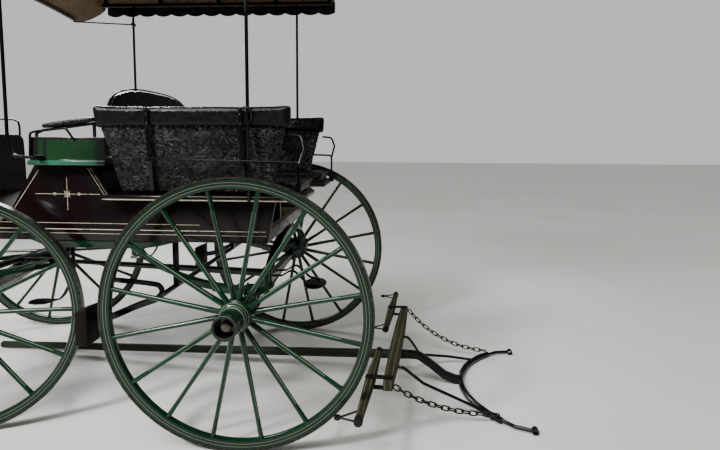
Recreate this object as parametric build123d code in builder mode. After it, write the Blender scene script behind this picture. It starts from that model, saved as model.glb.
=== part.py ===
# Horse-drawn wagonette with a canopy top, its draught pole taken off and laid underneath.
# Millimetres. X runs towards the tail, Y towards the right side, Z up from the floor.
import os
from math import asin, atan2, cos, degrees, radians, sin, sqrt, tan

from build123d import *

os.makedirs("parts", exist_ok=True)

# Wheels and axles
WHEELBASE = 1548
TRACK = 1505
REAR_WHEEL_R = 610
FRONT_WHEEL_R = 565
REAR_SPOKES = 16
FRONT_SPOKES = 14
FELLOE_DEPTH = 42
FELLOE_WIDTH = 34
TYRE_T = 8
TYRE_W = 38
HUB_IN = 75
HUB_OUT = 150
HUB_R = 74
NOSE_R = 54
NOSE_T = 11
NOSE_DEPTH = 48
ARM_R = 18
ARM_FIT = 0.06
NUT_R = 24
AXLE_SQ = 38
DISH = 24
STAGGER = 9

# Front gear as parked, turned towards the left
STEER = 16
LOCK = 20
RIM_Y = TRACK / 2 - TYRE_W / 2

# Turntable and kingpin
RING_R = 215
RING_W = 32
RING_T = 10
RING_GAP = 0.4
KINGPIN_R = 14

# Body, measured forwards and backwards from the rear axle
BODY_HALF = 500
PANEL_T = 18
SILL_Z = 885
SILL_H = 66
SILL_W = 42
FLOOR_T = 16
FRONT_OVERHANG = 227
BODY_FRONT = -WHEELBASE - FRONT_OVERHANG
BODY_REAR = 90
LEDGE_Z = 1095
LEDGE_REAR = 130
BOOT_TOP = 1254
BOOT_FRONT = -1186
BOOT_REAR = -676
BOOT_RAKE = 135
BENCH_T = 26
BENCH_FRONT = -668
BENCH_REAR = 270
BENCH_OVER = 92
BENCH_OUT = BODY_HALF + BENCH_OVER
BENCH_IN = 200
CUSHION_T = 62
BACK_TOP = 1535
BACK_LEAN = 45
BACK_T = 44
BACK_FOOT = BODY_HALF + 40
ROLL_H = 110
ROLL_PROUD = 7
STRAP_T = 5

# Driver's seat
DRIVER_FRONT = -1035
DRIVER_REAR = -664
DRIVER_HALF = BODY_HALF + 50
DRIVER_BOARD_TOP = 1386
DRIVER_BACK_TOP = 1650
DRIVER_BACK_DROP = 157
SEAT_WALL = 20
ARM_Z = 1449
DASH_FOOT = 1025
DASH_TOP = 1405
DASH_RAIL_Z = 1504

# Canopy
POST_R = 8
POST_Y = BENCH_OUT + POST_R
POST_REAR = 30
POST_FRONT = -1100
ROOF_OVER = 68
ROOF_HALF = POST_Y + ROOF_OVER
ROOF_EDGE = 2310
ROOF_RISE = 105
ROOF_T = 12
ROOF_REAR = 280
ROOF_FRONT = -1318
BROW_REACH = 217
BROW_DROP = 114
STAY_DROP = 150
VALANCE_DROP = 82
VALANCE_T = 6
SCALLOP = 112
SCALLOP_DEEP = 16

# Springs
SPRING_Y = BODY_HALF - 30
LEAF_T = 7
LEAF_W = 44
REAR_LEAVES = 5
FRONT_LEAVES = 4
REAR_CAMBER_R = 1060
FRONT_CAMBER_R = 1600
FRONT_BED_Z = 700
HANGER_Z = 848
HANGER_FRONT = -WHEELBASE + 508
HANGER_REAR = -350
STEP_X = -WHEELBASE + 488
STEP_Z = 568

# Brake
BRAKE_X = -388
BRAKE_Z = 655
BRAKE_GAP = 57
BLOCK_T = 60

# Pole, laid under the carriage
POLE_YAW = -5.5
POLE_PIVOT = 720
POLE_L = 2620
POLE_D = 54
POLE_Z = 150
TREE_Z = 230
BOW_R = 17
BOW_Z = BOW_R
SINGLE_GAP = 88
TREE_HALF = 520
SINGLE_HALF = 365
BOW_HALF = 455
BOW_REACH = 690
BOW_SPAN = 395
BOW_MIDDLE = 362
EYE_R = 16
EYE_BORE = 9
PIN_R = 6
LINK_L = 52
LINK_W = 30
LINK_D = 8

# The rear axle stands so that the box over wheels and pole is centred on the origin
front_reach = -WHEELBASE - RIM_Y * sin(radians(STEER))
front_reach -= FRONT_WHEEL_R * cos(radians(STEER)) + TYRE_W / 2 * sin(radians(STEER))
bow_yaw = radians(POLE_YAW)
rear_reach = POLE_PIVOT + BOW_REACH * cos(bow_yaw) - BOW_HALF * sin(bow_yaw) + EYE_R
AXLE_X = -(front_reach + rear_reach) / 2
print("front reach", round(front_reach, 1), "rear reach", round(rear_reach, 1), "axle x", round(AXLE_X, 3))

body = Location((AXLE_X, 0, 0))
gear = Location((AXLE_X - WHEELBASE, 0, 0), (0, 0, STEER))
pole = Location((AXLE_X + POLE_PIVOT, 0, 0), (0, 0, POLE_YAW))


def stand(frame, origin, x_dir, z_dir):
    """Plane given in the directions of a frame that may itself be turned."""
    return Plane(frame * Plane(origin=origin, x_dir=x_dir, z_dir=z_dir).location)


def side(frame, y):
    """Plane facing the left side at distance y: sketch x is X, sketch y is Z."""
    return stand(frame, (0, y, 0), (1, 0, 0), (0, -1, 0))


def level(frame, z):
    """Horizontal plane at height z."""
    return stand(frame, (0, 0, z), (1, 0, 0), (0, 0, 1))


def across(frame, x):
    """Upright plane across the vehicle: sketch x is Y, sketch y is Z, extruding towards the tail."""
    return stand(frame, (x, 0, 0), (0, 1, 0), (1, 0, 0))


def eased(points, bend):
    """Path whose corners are taken round in short runs, each about an arc of the given radius."""
    path = [Vector(*points[0])]
    for before, corner, after in zip(points, points[1:], points[2:]):
        corner = Vector(*corner)
        arrive = corner - Vector(*before)
        leave = Vector(*after) - corner
        turn = radians(arrive.get_angle(leave))
        cut = min(bend * tan(turn / 2), 0.45 * arrive.length, 0.45 * leave.length)
        start = corner - arrive.normalized() * cut
        stop = corner + leave.normalized() * cut
        path += [start, (start + corner * 2 + stop) * 0.25, stop]
    return path + [Vector(*points[-1])]


def iron(frame, points, radius, bend=0, broad=None, thick=0):
    """Forged bar through points of a frame: eight-sided, or flat and broad in a given direction."""
    route = eased(points, bend) if bend else [Vector(*point) for point in points]
    here = [(frame * Location(point)).position for point in route]
    run = here[1] - here[0]
    facing = Vector(*broad) if broad else run.cross(Vector(0.2, 0.5, 1))
    if broad:
        facing = (frame * Location(facing)).position - frame.position
    with BuildLine() as path:
        Polyline(*here)
    with BuildSketch(Plane(origin=here[0], x_dir=facing, z_dir=run)) as end:
        if broad:
            Rectangle(2 * radius, thick)
        else:
            RegularPolygon(radius, 8)
    sweep(sections=end.sketch, path=path.line, transition=Transition.RIGHT)


def save(name, finished):
    finished.part.label = name
    export_step(finished.part, f"parts/{name}.step")


# Wheels: hub, spokes, felloes and the hollow nose in one, and a shrunk tyre
# name, frame, side, radius, spokes
WHEELS = (
    ("rear_left", body, -1, REAR_WHEEL_R, REAR_SPOKES),
    ("rear_right", body, 1, REAR_WHEEL_R, REAR_SPOKES),
    ("front_left", gear, -1, FRONT_WHEEL_R, FRONT_SPOKES),
    ("front_right", gear, 1, FRONT_WHEEL_R, FRONT_SPOKES),
)
BORE = ARM_R + ARM_FIT
NOSE_START = HUB_OUT - NOSE_DEPTH

for name, frame, hand, radius, spokes in WHEELS:
    hub_plane = stand(frame, (0, hand * RIM_Y, radius), (1, 0, 0), (0, hand, 0))
    out = hub_plane.z_dir
    hub_axis = Axis(hub_plane.origin, out)
    section = Plane(origin=hub_plane.origin, x_dir=hub_plane.x_dir, z_dir=hub_plane.x_dir.cross(out))
    rim_out = radius - TYRE_T
    rim_in = rim_out - FELLOE_DEPTH

    with BuildPart() as wheel:
        with BuildSketch(section):
            with BuildLine():
                Polyline(
                    (BORE, -HUB_IN), (NOSE_R - 4, -HUB_IN), (HUB_R, -DISH - 32), (HUB_R, DISH - 8),
                    (HUB_R - 12, DISH + 10), (NOSE_R, NOSE_START), (NOSE_R, HUB_OUT),
                    (NOSE_R - NOSE_T, HUB_OUT), (NOSE_R - NOSE_T, NOSE_START), (BORE, NOSE_START),
                    (BORE, -HUB_IN),
                )
            make_face()
        revolve(axis=hub_axis)
        with BuildSketch(section):
            with Locations(((rim_in + rim_out) / 2, 0)):
                Rectangle(FELLOE_DEPTH, FELLOE_WIDTH)
        revolve(axis=hub_axis)
        for count in range(spokes):
            turn = radians(90 + 360 / spokes * (count + 0.5))
            reach = hub_plane.x_dir * cos(turn) + hub_plane.y_dir * sin(turn)
            foot = -DISH + (STAGGER if count % 2 else -STAGGER)
            # Root, waist and tongue of one spoke: distance out, place along the axle, half width, half depth
            for far, along, wide, deep in (
                (HUB_R - 10, foot, 17, 11),
                (HUB_R + 90, foot * 0.75, 15, 11),
                (rim_in + 6, 0, 12, 11),
            ):
                middle = hub_plane.origin + reach * far + out * along
                with BuildSketch(Plane(origin=middle, x_dir=out, z_dir=reach)):
                    Polygon(
                        (wide, 0), (wide / 2, deep), (-wide / 2, deep),
                        (-wide, 0), (-wide / 2, -deep), (wide / 2, -deep),
                    )
            loft(ruled=True)
    save(f"wheel_{name}", wheel)

    with BuildPart() as tyre:
        with BuildSketch(section):
            with Locations((radius - TYRE_T / 2, 0)):
                Rectangle(TYRE_T, TYRE_W)
        revolve(axis=hub_axis)
    save(f"tyre_{name}", tyre)

# Axles: square beam, round arms and end nuts; the front one also carries the timber bed
# name, frame, height of the arms
ARM_END = RIM_Y + NOSE_START
BEAM_HALF = RIM_Y - HUB_IN - 6
BED_H = 44
for name, frame, height in (("rear_axle", body, REAR_WHEEL_R), ("front_axle", gear, FRONT_WHEEL_R)):
    with BuildPart() as axle:
        with BuildSketch(side(frame, 0)):
            with Locations((0, height)):
                Rectangle(AXLE_SQ, AXLE_SQ)
        extrude(amount=BEAM_HALF, both=True)
        with BuildSketch(side(frame, 0)):
            with Locations((0, height)):
                Circle(ARM_R)
        extrude(amount=ARM_END + 30, both=True)
        for hand in (-1, 1):
            collar = stand(frame, (0, hand * BEAM_HALF, height), (1, 0, 0), (0, hand, 0))
            with BuildSketch(collar):
                RegularPolygon(30, 8)
            extrude(amount=5)
            with BuildSketch(collar.offset(ARM_END - BEAM_HALF + 1)):
                RegularPolygon(NUT_R, 6)
            extrude(amount=24)
        if frame is gear:
            with BuildSketch(side(frame, 0)):
                with Locations((0, height + AXLE_SQ / 2 + BED_H / 2)):
                    Rectangle(60, BED_H)
            extrude(amount=430, both=True)
            with BuildSketch(level(frame, height - 60)):
                Circle(KINGPIN_R + ARM_FIT)
            extrude(amount=160, mode=Mode.SUBTRACT)
    save(name, axle)

# Turntable: lower ring on the axle bed; upper ring, fixed bed and kingpin hang from the body
BED_TOP = FRONT_WHEEL_R + AXLE_SQ / 2 + BED_H
with BuildPart() as lower_ring:
    with BuildSketch(level(gear, BED_TOP)):
        Circle(RING_R + RING_W / 2)
        Circle(RING_R - RING_W / 2, mode=Mode.SUBTRACT)
    extrude(amount=RING_T)
save("turntable_lower", lower_ring)

UPPER_Z = BED_TOP + RING_T + RING_GAP
FIXED_Z = UPPER_Z + RING_T
FRONT_SEAT = FRONT_BED_Z - LEAF_T * FRONT_LEAVES
with BuildPart() as front_bed:
    with BuildSketch(level(gear, UPPER_Z)):
        Circle(RING_R + RING_W / 2)
        Circle(RING_R - RING_W / 2, mode=Mode.SUBTRACT)
    extrude(amount=RING_T)
    with BuildSketch(side(body, 0)):
        with Locations((-WHEELBASE, (FIXED_Z + FRONT_SEAT) / 2)):
            Rectangle(64, FRONT_SEAT - FIXED_Z)
    extrude(amount=SPRING_Y + 30, both=True)
    with BuildSketch(level(body, FRONT_WHEEL_R - 40)):
        with Locations((-WHEELBASE, 0)):
            Circle(KINGPIN_R)
    extrude(amount=FIXED_Z - FRONT_WHEEL_R + 50)
save("front_bed_and_kingpin", front_bed)

# Perch from the fixed front bed to the rear axle
with BuildPart() as perch:
    with BuildSketch(side(body, 0)):
        with BuildLine():
            Polyline(
                (-WHEELBASE + 32, FIXED_Z + 1), (-WHEELBASE + 280, FIXED_Z + 1),
                (-AXLE_SQ / 2, REAR_WHEEL_R - AXLE_SQ / 2), (-AXLE_SQ / 2, REAR_WHEEL_R + AXLE_SQ / 2),
                (-WHEELBASE + 32, FRONT_SEAT), (-WHEELBASE + 32, FIXED_Z + 1),
            )
        make_face()
    extrude(amount=24, both=True)
save("perch", perch)


def arc_blade(plane, middle, centre_z, inner, outer, start, stop):
    """One curved spring leaf between two radii and two angles from straight down."""
    with BuildSketch(plane) as blade:
        with BuildLine():
            half = (start + stop) / 2
            first = [(middle + inner * sin(a), centre_z - inner * cos(a)) for a in (start, half, stop)]
            last = [(middle + outer * sin(a), centre_z - outer * cos(a)) for a in (stop, half, start)]
            ThreePointArc(*first)
            Line(first[2], last[0])
            ThreePointArc(*last)
            Line(last[2], first[0])
        make_face()
    extrude(blade.sketch, amount=LEAF_W / 2, both=True)


def spring_top(seat, leaves, camber, reach):
    """Height of a side spring's main leaf at a distance from its clip."""
    return seat + LEAF_T * leaves + camber - sqrt(camber**2 - reach**2)


# Half-elliptic side springs, the longest leaf on top, clipped down to the axle or bed
REAR_SEAT = REAR_WHEEL_R + AXLE_SQ / 2
REAR_AHEAD = 570
REAR_BEHIND = BODY_REAR + 10
FRONT_AHEAD = FRONT_OVERHANG + 5
FRONT_BEHIND = 620
EYE_OUT = 12
# middle, seat, leaves, camber radius, reach ahead and behind, clip's foot below the seat
SIDE_SPRINGS = (
    (0, REAR_SEAT, REAR_LEAVES, REAR_CAMBER_R, REAR_AHEAD, REAR_BEHIND, AXLE_SQ),
    (-WHEELBASE, FRONT_SEAT, FRONT_LEAVES, FRONT_CAMBER_R, FRONT_AHEAD, FRONT_BEHIND, 0),
)
with BuildPart() as stack:
    for middle, seat, leaves, camber, ahead, behind, foot in SIDE_SPRINGS:
        for hand in (-1, 1):
            plane = side(body, hand * SPRING_Y)
            centre_z = seat + LEAF_T * leaves + camber
            for leaf in range(leaves):
                inner = camber + LEAF_T * leaf
                arc_blade(
                    plane, middle, centre_z, inner, inner + LEAF_T,
                    -ahead * (1 - 0.17 * leaf) / camber, behind * (1 - 0.12 * leaf) / camber,
                )
            # Rolled eyes at both ends of the main leaf
            for reach in (-ahead, behind):
                lean = reach / camber
                with BuildSketch(plane) as roll:
                    with Locations((middle + camber * sin(lean), centre_z - camber * cos(lean) + EYE_OUT / 2)):
                        RegularPolygon(EYE_OUT, 8)
                extrude(roll.sketch, amount=LEAF_W / 2, both=True)
            # Clip: plate over the leaves, four legs, and a plate under the axle
            if foot:
                with BuildSketch(level(body, seat + LEAF_T * leaves - 1)) as plate:
                    with Locations((middle, hand * SPRING_Y)):
                        Rectangle(66, LEAF_W + 24)
                extrude(plate.sketch, amount=9)
                for dx in (-26, 26):
                    for dy in (-1, 1):
                        y = hand * SPRING_Y + dy * (LEAF_W / 2 + 6)
                        iron(
                            body,
                            ((middle + dx, y, seat - foot - 14), (middle + dx, y, seat + LEAF_T * leaves + 14)),
                            5.5,
                        )
                with BuildSketch(level(body, seat - foot - 8)) as under:
                    with Locations((middle, hand * SPRING_Y)):
                        Rectangle(66, LEAF_W + 24)
                extrude(under.sketch, amount=8)
save("side_springs", stack)

# Cross springs, arched up under the body, with D shackles down to the side springs
# place along the body, height of the side spring's main leaf there
CROSS_SPRINGS = (
    (BODY_REAR - 8, spring_top(REAR_SEAT, REAR_LEAVES, REAR_CAMBER_R, REAR_BEHIND)),
    (BODY_FRONT + 12, spring_top(FRONT_SEAT, FRONT_LEAVES, FRONT_CAMBER_R, FRONT_AHEAD)),
)
with BuildPart() as cross:
    for x, eye in CROSS_SPRINGS:
        crown = SILL_Z
        ends = eye + 70
        camber = (SPRING_Y**2 + (crown - ends) ** 2) / (2 * (crown - ends))
        for leaf in range(3):
            lean = SPRING_Y * (1 - 0.2 * leaf) / camber
            outer = camber - LEAF_T * leaf
            arc_blade(across(body, x), 0, crown - camber, outer - LEAF_T, outer, radians(180) - lean, radians(180) + lean)
        for hand in (-1, 1):
            # D shackle: two cheeks either side of the side spring's eye, and a loop over the cross spring's end
            for dy in (-1, 1):
                with BuildSketch(side(body, hand * SPRING_Y + dy * (LEAF_W / 2 + 5))):
                    with Locations((x, (eye + ends) / 2)):
                        Rectangle(24, ends - eye + 20)
                extrude(amount=3.5, both=True)
            for z in (eye + 25, ends - 4):
                with BuildSketch(side(body, hand * SPRING_Y)):
                    with Locations((x, z)):
                        RegularPolygon(7, 6)
                extrude(amount=LEAF_W / 2 + 12, both=True)
save("cross_springs", cross)

# Hanger blocks under the sills, and the shackles that take the inner ends of the side springs
with BuildPart() as hangers:
    for hand in (-1, 1):
        with BuildSketch(side(body, hand * SPRING_Y)):
            with BuildLine():
                Polyline(
                    (HANGER_FRONT, SILL_Z), (HANGER_REAR, SILL_Z), (HANGER_REAR - 90, SILL_Z - 22),
                    (HANGER_REAR - 180, HANGER_Z), (HANGER_FRONT + 110, HANGER_Z), (HANGER_FRONT + 40, SILL_Z - 22),
                    (HANGER_FRONT, SILL_Z),
                )
            make_face()
        extrude(amount=26, both=True)
save("hanger_blocks", hangers)

with BuildPart() as shackles:
    for hand in (-1, 1):
        # place along the body, height of the main leaf's end
        for x, foot in (
            (-REAR_AHEAD, spring_top(REAR_SEAT, REAR_LEAVES, REAR_CAMBER_R, REAR_AHEAD)),
            (-WHEELBASE + FRONT_BEHIND, spring_top(FRONT_SEAT, FRONT_LEAVES, FRONT_CAMBER_R, FRONT_BEHIND)),
        ):
            for dy in (-1, 1):
                with BuildSketch(side(body, hand * SPRING_Y + dy * (LEAF_W / 2 + 3.5))):
                    with Locations((x, (foot - 14 + HANGER_Z) / 2)):
                        Rectangle(26, HANGER_Z - foot + 14)
                extrude(amount=3, both=True)
            with BuildSketch(side(body, hand * SPRING_Y)):
                with Locations((x, HANGER_Z - 2)):
                    Rectangle(34, 4)
            extrude(amount=LEAF_W / 2 + 6.5, both=True)
save("spring_shackles", shackles)

# Body frame: sills and cross bearers, floor boards above
INNER_HALF = BODY_HALF - PANEL_T
with BuildPart() as frame_part:
    for hand in (-1, 1):
        with BuildSketch(side(body, hand * (INNER_HALF - SILL_W / 2))):
            with Locations(((BODY_FRONT + BODY_REAR) / 2, SILL_Z + SILL_H / 2)):
                Rectangle(BODY_REAR - BODY_FRONT, SILL_H)
        extrude(amount=SILL_W / 2, both=True)
    for x in (BODY_FRONT + 25, BOOT_FRONT, -640, BODY_REAR - 25):
        with BuildSketch(side(body, 0)):
            with Locations((x, SILL_Z + SILL_H / 2)):
                Rectangle(50, SILL_H)
        extrude(amount=INNER_HALF - SILL_W, both=True)
save("body_frame", frame_part)

FLOOR_Z = SILL_Z + SILL_H
FLOOR_TOP = FLOOR_Z + FLOOR_T
with BuildPart() as floor_boards:
    with BuildSketch(level(body, FLOOR_Z)):
        with Locations(((BODY_FRONT + BODY_REAR) / 2, 0)):
            Rectangle(BODY_REAR - BODY_FRONT, 2 * INNER_HALF)
    extrude(amount=FLOOR_T)
save("floor_boards", floor_boards)

# Side panels from the toe board back to the tail
with BuildPart() as side_panels:
    for hand in (-1, 1):
        with BuildSketch(side(body, hand * (BODY_HALF - PANEL_T / 2))):
            with BuildLine():
                Polyline(
                    (BODY_FRONT, SILL_Z), (BODY_REAR, SILL_Z), (LEDGE_REAR, LEDGE_Z), (BOOT_REAR, LEDGE_Z),
                    (BOOT_REAR - 80, BOOT_TOP), (BOOT_FRONT + BOOT_RAKE, BOOT_TOP), (BOOT_FRONT, 1025),
                    (BOOT_FRONT - 54, 975), (BODY_FRONT, 975), (BODY_FRONT, SILL_Z),
                )
            make_face()
        extrude(amount=PANEL_T / 2, both=True)
save("side_panels", side_panels)

# Boot under the driver's seat: front and rear boards across the body
with BuildPart() as boot:
    # foot and head of each board along the body
    for foot, head in ((BOOT_FRONT, BOOT_FRONT + BOOT_RAKE), (BOOT_REAR, BOOT_REAR - 80)):
        with BuildSketch(side(body, 0)):
            with BuildLine():
                Polyline(
                    (foot, FLOOR_TOP), (foot + 16, FLOOR_TOP), (head + 16, BOOT_TOP), (head, BOOT_TOP),
                    (foot, FLOOR_TOP),
                )
            make_face()
        extrude(amount=INNER_HALF, both=True)
save("boot_boards", boot)

# Bench risers, boards, cushions and backs, facing each other behind the driver
RISER_FRONT = -640
with BuildPart() as risers:
    for hand in (-1, 1):
        with BuildSketch(side(body, hand * (BENCH_IN + 20))):
            with Locations(((RISER_FRONT + BODY_REAR) / 2, (FLOOR_TOP + LEDGE_Z) / 2)):
                Rectangle(BODY_REAR - RISER_FRONT, LEDGE_Z - FLOOR_TOP)
        extrude(amount=8, both=True)
save("bench_risers", risers)

with BuildPart() as bench_boards:
    for hand in (-1, 1):
        with BuildSketch(level(body, LEDGE_Z)):
            with Locations(((BENCH_FRONT + BENCH_REAR) / 2, hand * (BENCH_IN + BENCH_OUT) / 2)):
                Rectangle(BENCH_REAR - BENCH_FRONT, BENCH_OUT - BENCH_IN)
        extrude(amount=BENCH_T)
save("bench_boards", bench_boards)

SEAT_Z = LEDGE_Z + BENCH_T
with BuildPart() as bench_cushions:
    for hand in (-1, 1):
        with BuildSketch(level(body, SEAT_Z)):
            with Locations(((BENCH_FRONT + BENCH_REAR) / 2 + 30, hand * (BENCH_IN + BACK_FOOT - BACK_T - 8) / 2)):
                Rectangle(BENCH_REAR - BENCH_FRONT - 90, BACK_FOOT - BACK_T - 8 - BENCH_IN)
        extrude(amount=CUSHION_T)
save("bench_cushions", bench_cushions)

BACK_H = sqrt((BACK_TOP - SEAT_Z) ** 2 + BACK_LEAN**2)
with BuildPart() as bench_backs:
    for hand in (-1, 1):
        lean = Vector(0, hand * BACK_LEAN, BACK_TOP - SEAT_Z).normalized()
        face = Plane(origin=(AXLE_X, hand * BACK_FOOT, SEAT_Z), x_dir=(1, 0, 0), z_dir=Vector(1, 0, 0).cross(lean))
        band = BACK_H - ROLL_H
        with BuildSketch(face):
            with BuildLine():
                Polyline((-592, 1), (132, 1), (203, band), (-661, band), (-592, 1))
            make_face()
        extrude(amount=BACK_T * hand)
        # Thick roll along the top, its corners cut
        with BuildSketch(face.offset(-ROLL_PROUD * hand)):
            with BuildLine():
                Polyline(
                    (-676, band), (208, band), (222, band + 18), (227, BACK_H - 22), (212, BACK_H), (-682, BACK_H),
                    (-694, BACK_H - 14), (-676, band),
                )
            make_face()
        extrude(amount=(BACK_T + 2 * ROLL_PROUD) * hand)
save("bench_backs", bench_backs)

# Seat ironwork: straps up the backs, side rails, grab loops at the tail and the driver's arm rests
RAIL_Y = BENCH_OUT + 22
with BuildPart() as seat_irons:
    for hand in (-1, 1):
        rail = [
            (-640, hand * RAIL_Y, SEAT_Z + 6), (-640, hand * RAIL_Y, 1296), (BENCH_REAR - 8, hand * RAIL_Y, 1276),
            (BENCH_REAR - 8, hand * RAIL_Y, SEAT_Z + 6),
        ]
        iron(body, rail, 6.5, 18)
        for x in (-640, BENCH_REAR - 8):
            with BuildSketch(side(body, hand * (BENCH_OUT + 15))):
                with Locations((x, LEDGE_Z + 20)):
                    Rectangle(30, 34)
            extrude(amount=15, both=True)
        # Two straps lie along the outside of the leaning back
        for x in (-440, -6):
            outer = BACK_FOOT + ROLL_PROUD + STRAP_T / 2 + 2
            iron(
                body,
                ((x, hand * (outer + 1), SEAT_Z + 0.5), (x, hand * (outer + BACK_LEAN), BACK_TOP - 12)),
                10, 0, (1, 0, 0), STRAP_T,
            )
            level_y = outer + BACK_LEAN * (1285 - SEAT_Z) / (BACK_TOP - SEAT_Z)
            iron(body, ((x, hand * level_y, 1285), (x, hand * RAIL_Y, 1285)), 6)
        iron(
            body,
            (
                (205, hand * (BACK_FOOT + 26), 1402), (BENCH_REAR - 4, hand * (BACK_FOOT + 40), 1396),
                (BENCH_REAR + 14, hand * (RAIL_Y - 12), 1340), (BENCH_REAR - 8, hand * RAIL_Y, 1262),
            ),
            6.5, 25,
        )
    # Arm rests of the driver's seat: a rail on two uprights, and a swept iron outside it
    for hand in (-1, 1):
        y = hand * (DRIVER_HALF - 8)
        outer = hand * (DRIVER_HALF + 6)
        iron(
            body,
            (
                (-1000, y, DRIVER_BOARD_TOP + 0.4), (-1000, y, ARM_Z - 44), (-968, y, ARM_Z - 31.6),
                (-722, y, ARM_Z + 0.2), (-716, y, ARM_Z + 1),
            ),
            7, 20,
        )
        # Swept iron from the front corner of the box up and back to the board's edge
        iron(
            body,
            (
                (-1028, outer, BOOT_TOP + 36), (-1022, outer, ARM_Z - 43), (-986, outer, ARM_Z - 35),
                (-846, outer, ARM_Z - 21), (-812, outer, DRIVER_BOARD_TOP - 8),
            ),
            5.5, 16,
        )
        with BuildSketch(side(body, hand * (DRIVER_HALF - 8))):
            with Locations((-716, (DRIVER_BOARD_TOP + ARM_Z + 8.5) / 2)):
                Rectangle(12, ARM_Z + 7.5 - DRIVER_BOARD_TOP)
        extrude(amount=5, both=True)
save("seat_irons", seat_irons)

# Driver's seat: board box with its base moulding, cushion, back and arm pads
DRIVER_MID = (DRIVER_FRONT + DRIVER_REAR) / 2
with BuildPart() as driver_box:
    with BuildSketch(level(body, BOOT_TOP)):
        with Locations((DRIVER_MID, 0)):
            Rectangle(DRIVER_REAR - DRIVER_FRONT, 2 * DRIVER_HALF)
    extrude(amount=DRIVER_BOARD_TOP - BOOT_TOP)
    with BuildSketch(level(body, BOOT_TOP)):
        with Locations((DRIVER_MID - 4, 0)):
            Rectangle(DRIVER_REAR - DRIVER_FRONT + 8, 2 * DRIVER_HALF + 14)
    extrude(amount=22)
    with BuildSketch(level(body, BOOT_TOP + SEAT_WALL)):
        with Locations((DRIVER_MID, 0)):
            Rectangle(DRIVER_REAR - DRIVER_FRONT - 2 * SEAT_WALL, 2 * DRIVER_HALF - 2 * SEAT_WALL)
    extrude(amount=200, mode=Mode.SUBTRACT)
save("driver_seat_box", driver_box)

with BuildPart() as driver_cushion:
    with BuildSketch(level(body, BOOT_TOP + SEAT_WALL)):
        with Locations((DRIVER_MID, 0)):
            Rectangle(DRIVER_REAR - DRIVER_FRONT - 2 * SEAT_WALL - 10, 2 * DRIVER_HALF - 2 * SEAT_WALL - 10)
    extrude(amount=110)
save("driver_cushion", driver_cushion)

with BuildPart() as driver_back:
    with BuildSketch(across(body, DRIVER_REAR - 20)):
        with BuildLine():
            foot = DRIVER_BOARD_TOP + 0.3
            shoulder = DRIVER_BACK_TOP - DRIVER_BACK_DROP
            Line((-BODY_HALF, foot), (BODY_HALF, foot))
            Line((BODY_HALF, foot), (BODY_HALF, shoulder))
            # Round shoulders and a low crown between them
            turn_in = BODY_HALF - 160
            ThreePointArc((BODY_HALF, shoulder), (BODY_HALF - 52, shoulder + 88), (turn_in, shoulder + 135))
            ThreePointArc((turn_in, shoulder + 135), (0, DRIVER_BACK_TOP), (-turn_in, shoulder + 135))
            ThreePointArc((-turn_in, shoulder + 135), (52 - BODY_HALF, shoulder + 88), (-BODY_HALF, shoulder))
            Line((-BODY_HALF, shoulder), (-BODY_HALF, foot))
        make_face()
    extrude(amount=22, both=True)
save("driver_seat_back", driver_back)

with BuildPart() as arm_pads:
    for hand in (-1, 1):
        with BuildSketch(side(body, hand * (DRIVER_HALF - 8))):
            with BuildLine():
                Polyline(
                    (-966, ARM_Z - 23), (-711, ARM_Z + 10), (-711, ARM_Z + 33), (-966, ARM_Z),
                    (-966, ARM_Z - 23),
                )
            make_face()
        extrude(amount=18, both=True)
save("driver_arm_pads", arm_pads)

# Toe board and dash
TOE_X = BODY_FRONT - 40
DASH_X = BODY_FRONT - 43
with BuildPart() as toe_board:
    with BuildSketch(side(body, 0)):
        with BuildLine():
            Polyline(
                (TOE_X, 1015), (TOE_X, 1040), (TOE_X + 12, 1040), (BODY_FRONT + 120, FLOOR_TOP),
                (BODY_FRONT + 95, FLOOR_TOP), (TOE_X, 1015),
            )
        make_face()
    extrude(amount=INNER_HALF, both=True)
save("toe_board", toe_board)

DASH_HALF = BODY_HALF - 50
with BuildPart() as dash:
    with BuildSketch(across(body, DASH_X)):
        with BuildLine():
            Polyline(
                (-DASH_HALF, DASH_FOOT), (DASH_HALF, DASH_FOOT), (DASH_HALF, DASH_TOP - 50),
                (DASH_HALF - 18, DASH_TOP - 14), (DASH_HALF - 55, DASH_TOP), (55 - DASH_HALF, DASH_TOP),
                (18 - DASH_HALF, DASH_TOP - 14), (-DASH_HALF, DASH_TOP - 50), (-DASH_HALF, DASH_FOOT),
            )
        make_face()
    extrude(amount=3, both=True)
    for y in (70 - DASH_HALF, 0, DASH_HALF - 70):
        with BuildSketch(side(body, y)):
            with Locations((BODY_FRONT - 52, 1060)):
                Rectangle(12, 300)
        extrude(amount=12, both=True)
save("dash", dash)

with BuildPart() as dash_rail:
    rail_half = DASH_HALF - 30
    iron(
        body,
        (
            (DASH_X, -rail_half, DASH_TOP - 4), (DASH_X, -rail_half, DASH_RAIL_Z), (DASH_X, rail_half, DASH_RAIL_Z),
            (DASH_X, rail_half, DASH_TOP - 4),
        ),
        7, 45,
    )
    iron(body, ((DASH_X, 0, DASH_TOP + 0.3), (DASH_X, 0, DASH_RAIL_Z)), 6)
save("dash_rail", dash_rail)

# Canopy: four posts, bowed frame, roof with its brow, scalloped valance
BOW_T = 16
ROOF_ARC_R = (ROOF_HALF**2 + ROOF_RISE**2) / (2 * ROOF_RISE)


def bow_height(y, below):
    """Height of the roof's lower face at a place across it, less a distance below it."""
    radius = ROOF_ARC_R - below
    return ROOF_EDGE - ROOF_T + ROOF_RISE - ROOF_ARC_R + sqrt(radius**2 - y**2)


# The brow sweeps down and forward from the roof: share of its reach, share of its drop, tilt from upright
BROW = ((0, 0, 0), (0.10, 0.34, 12), (0.31, 0.60, 22), (0.61, 0.84, 32), (0.90, 0.97, 38), (1, 1, 40))


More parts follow.
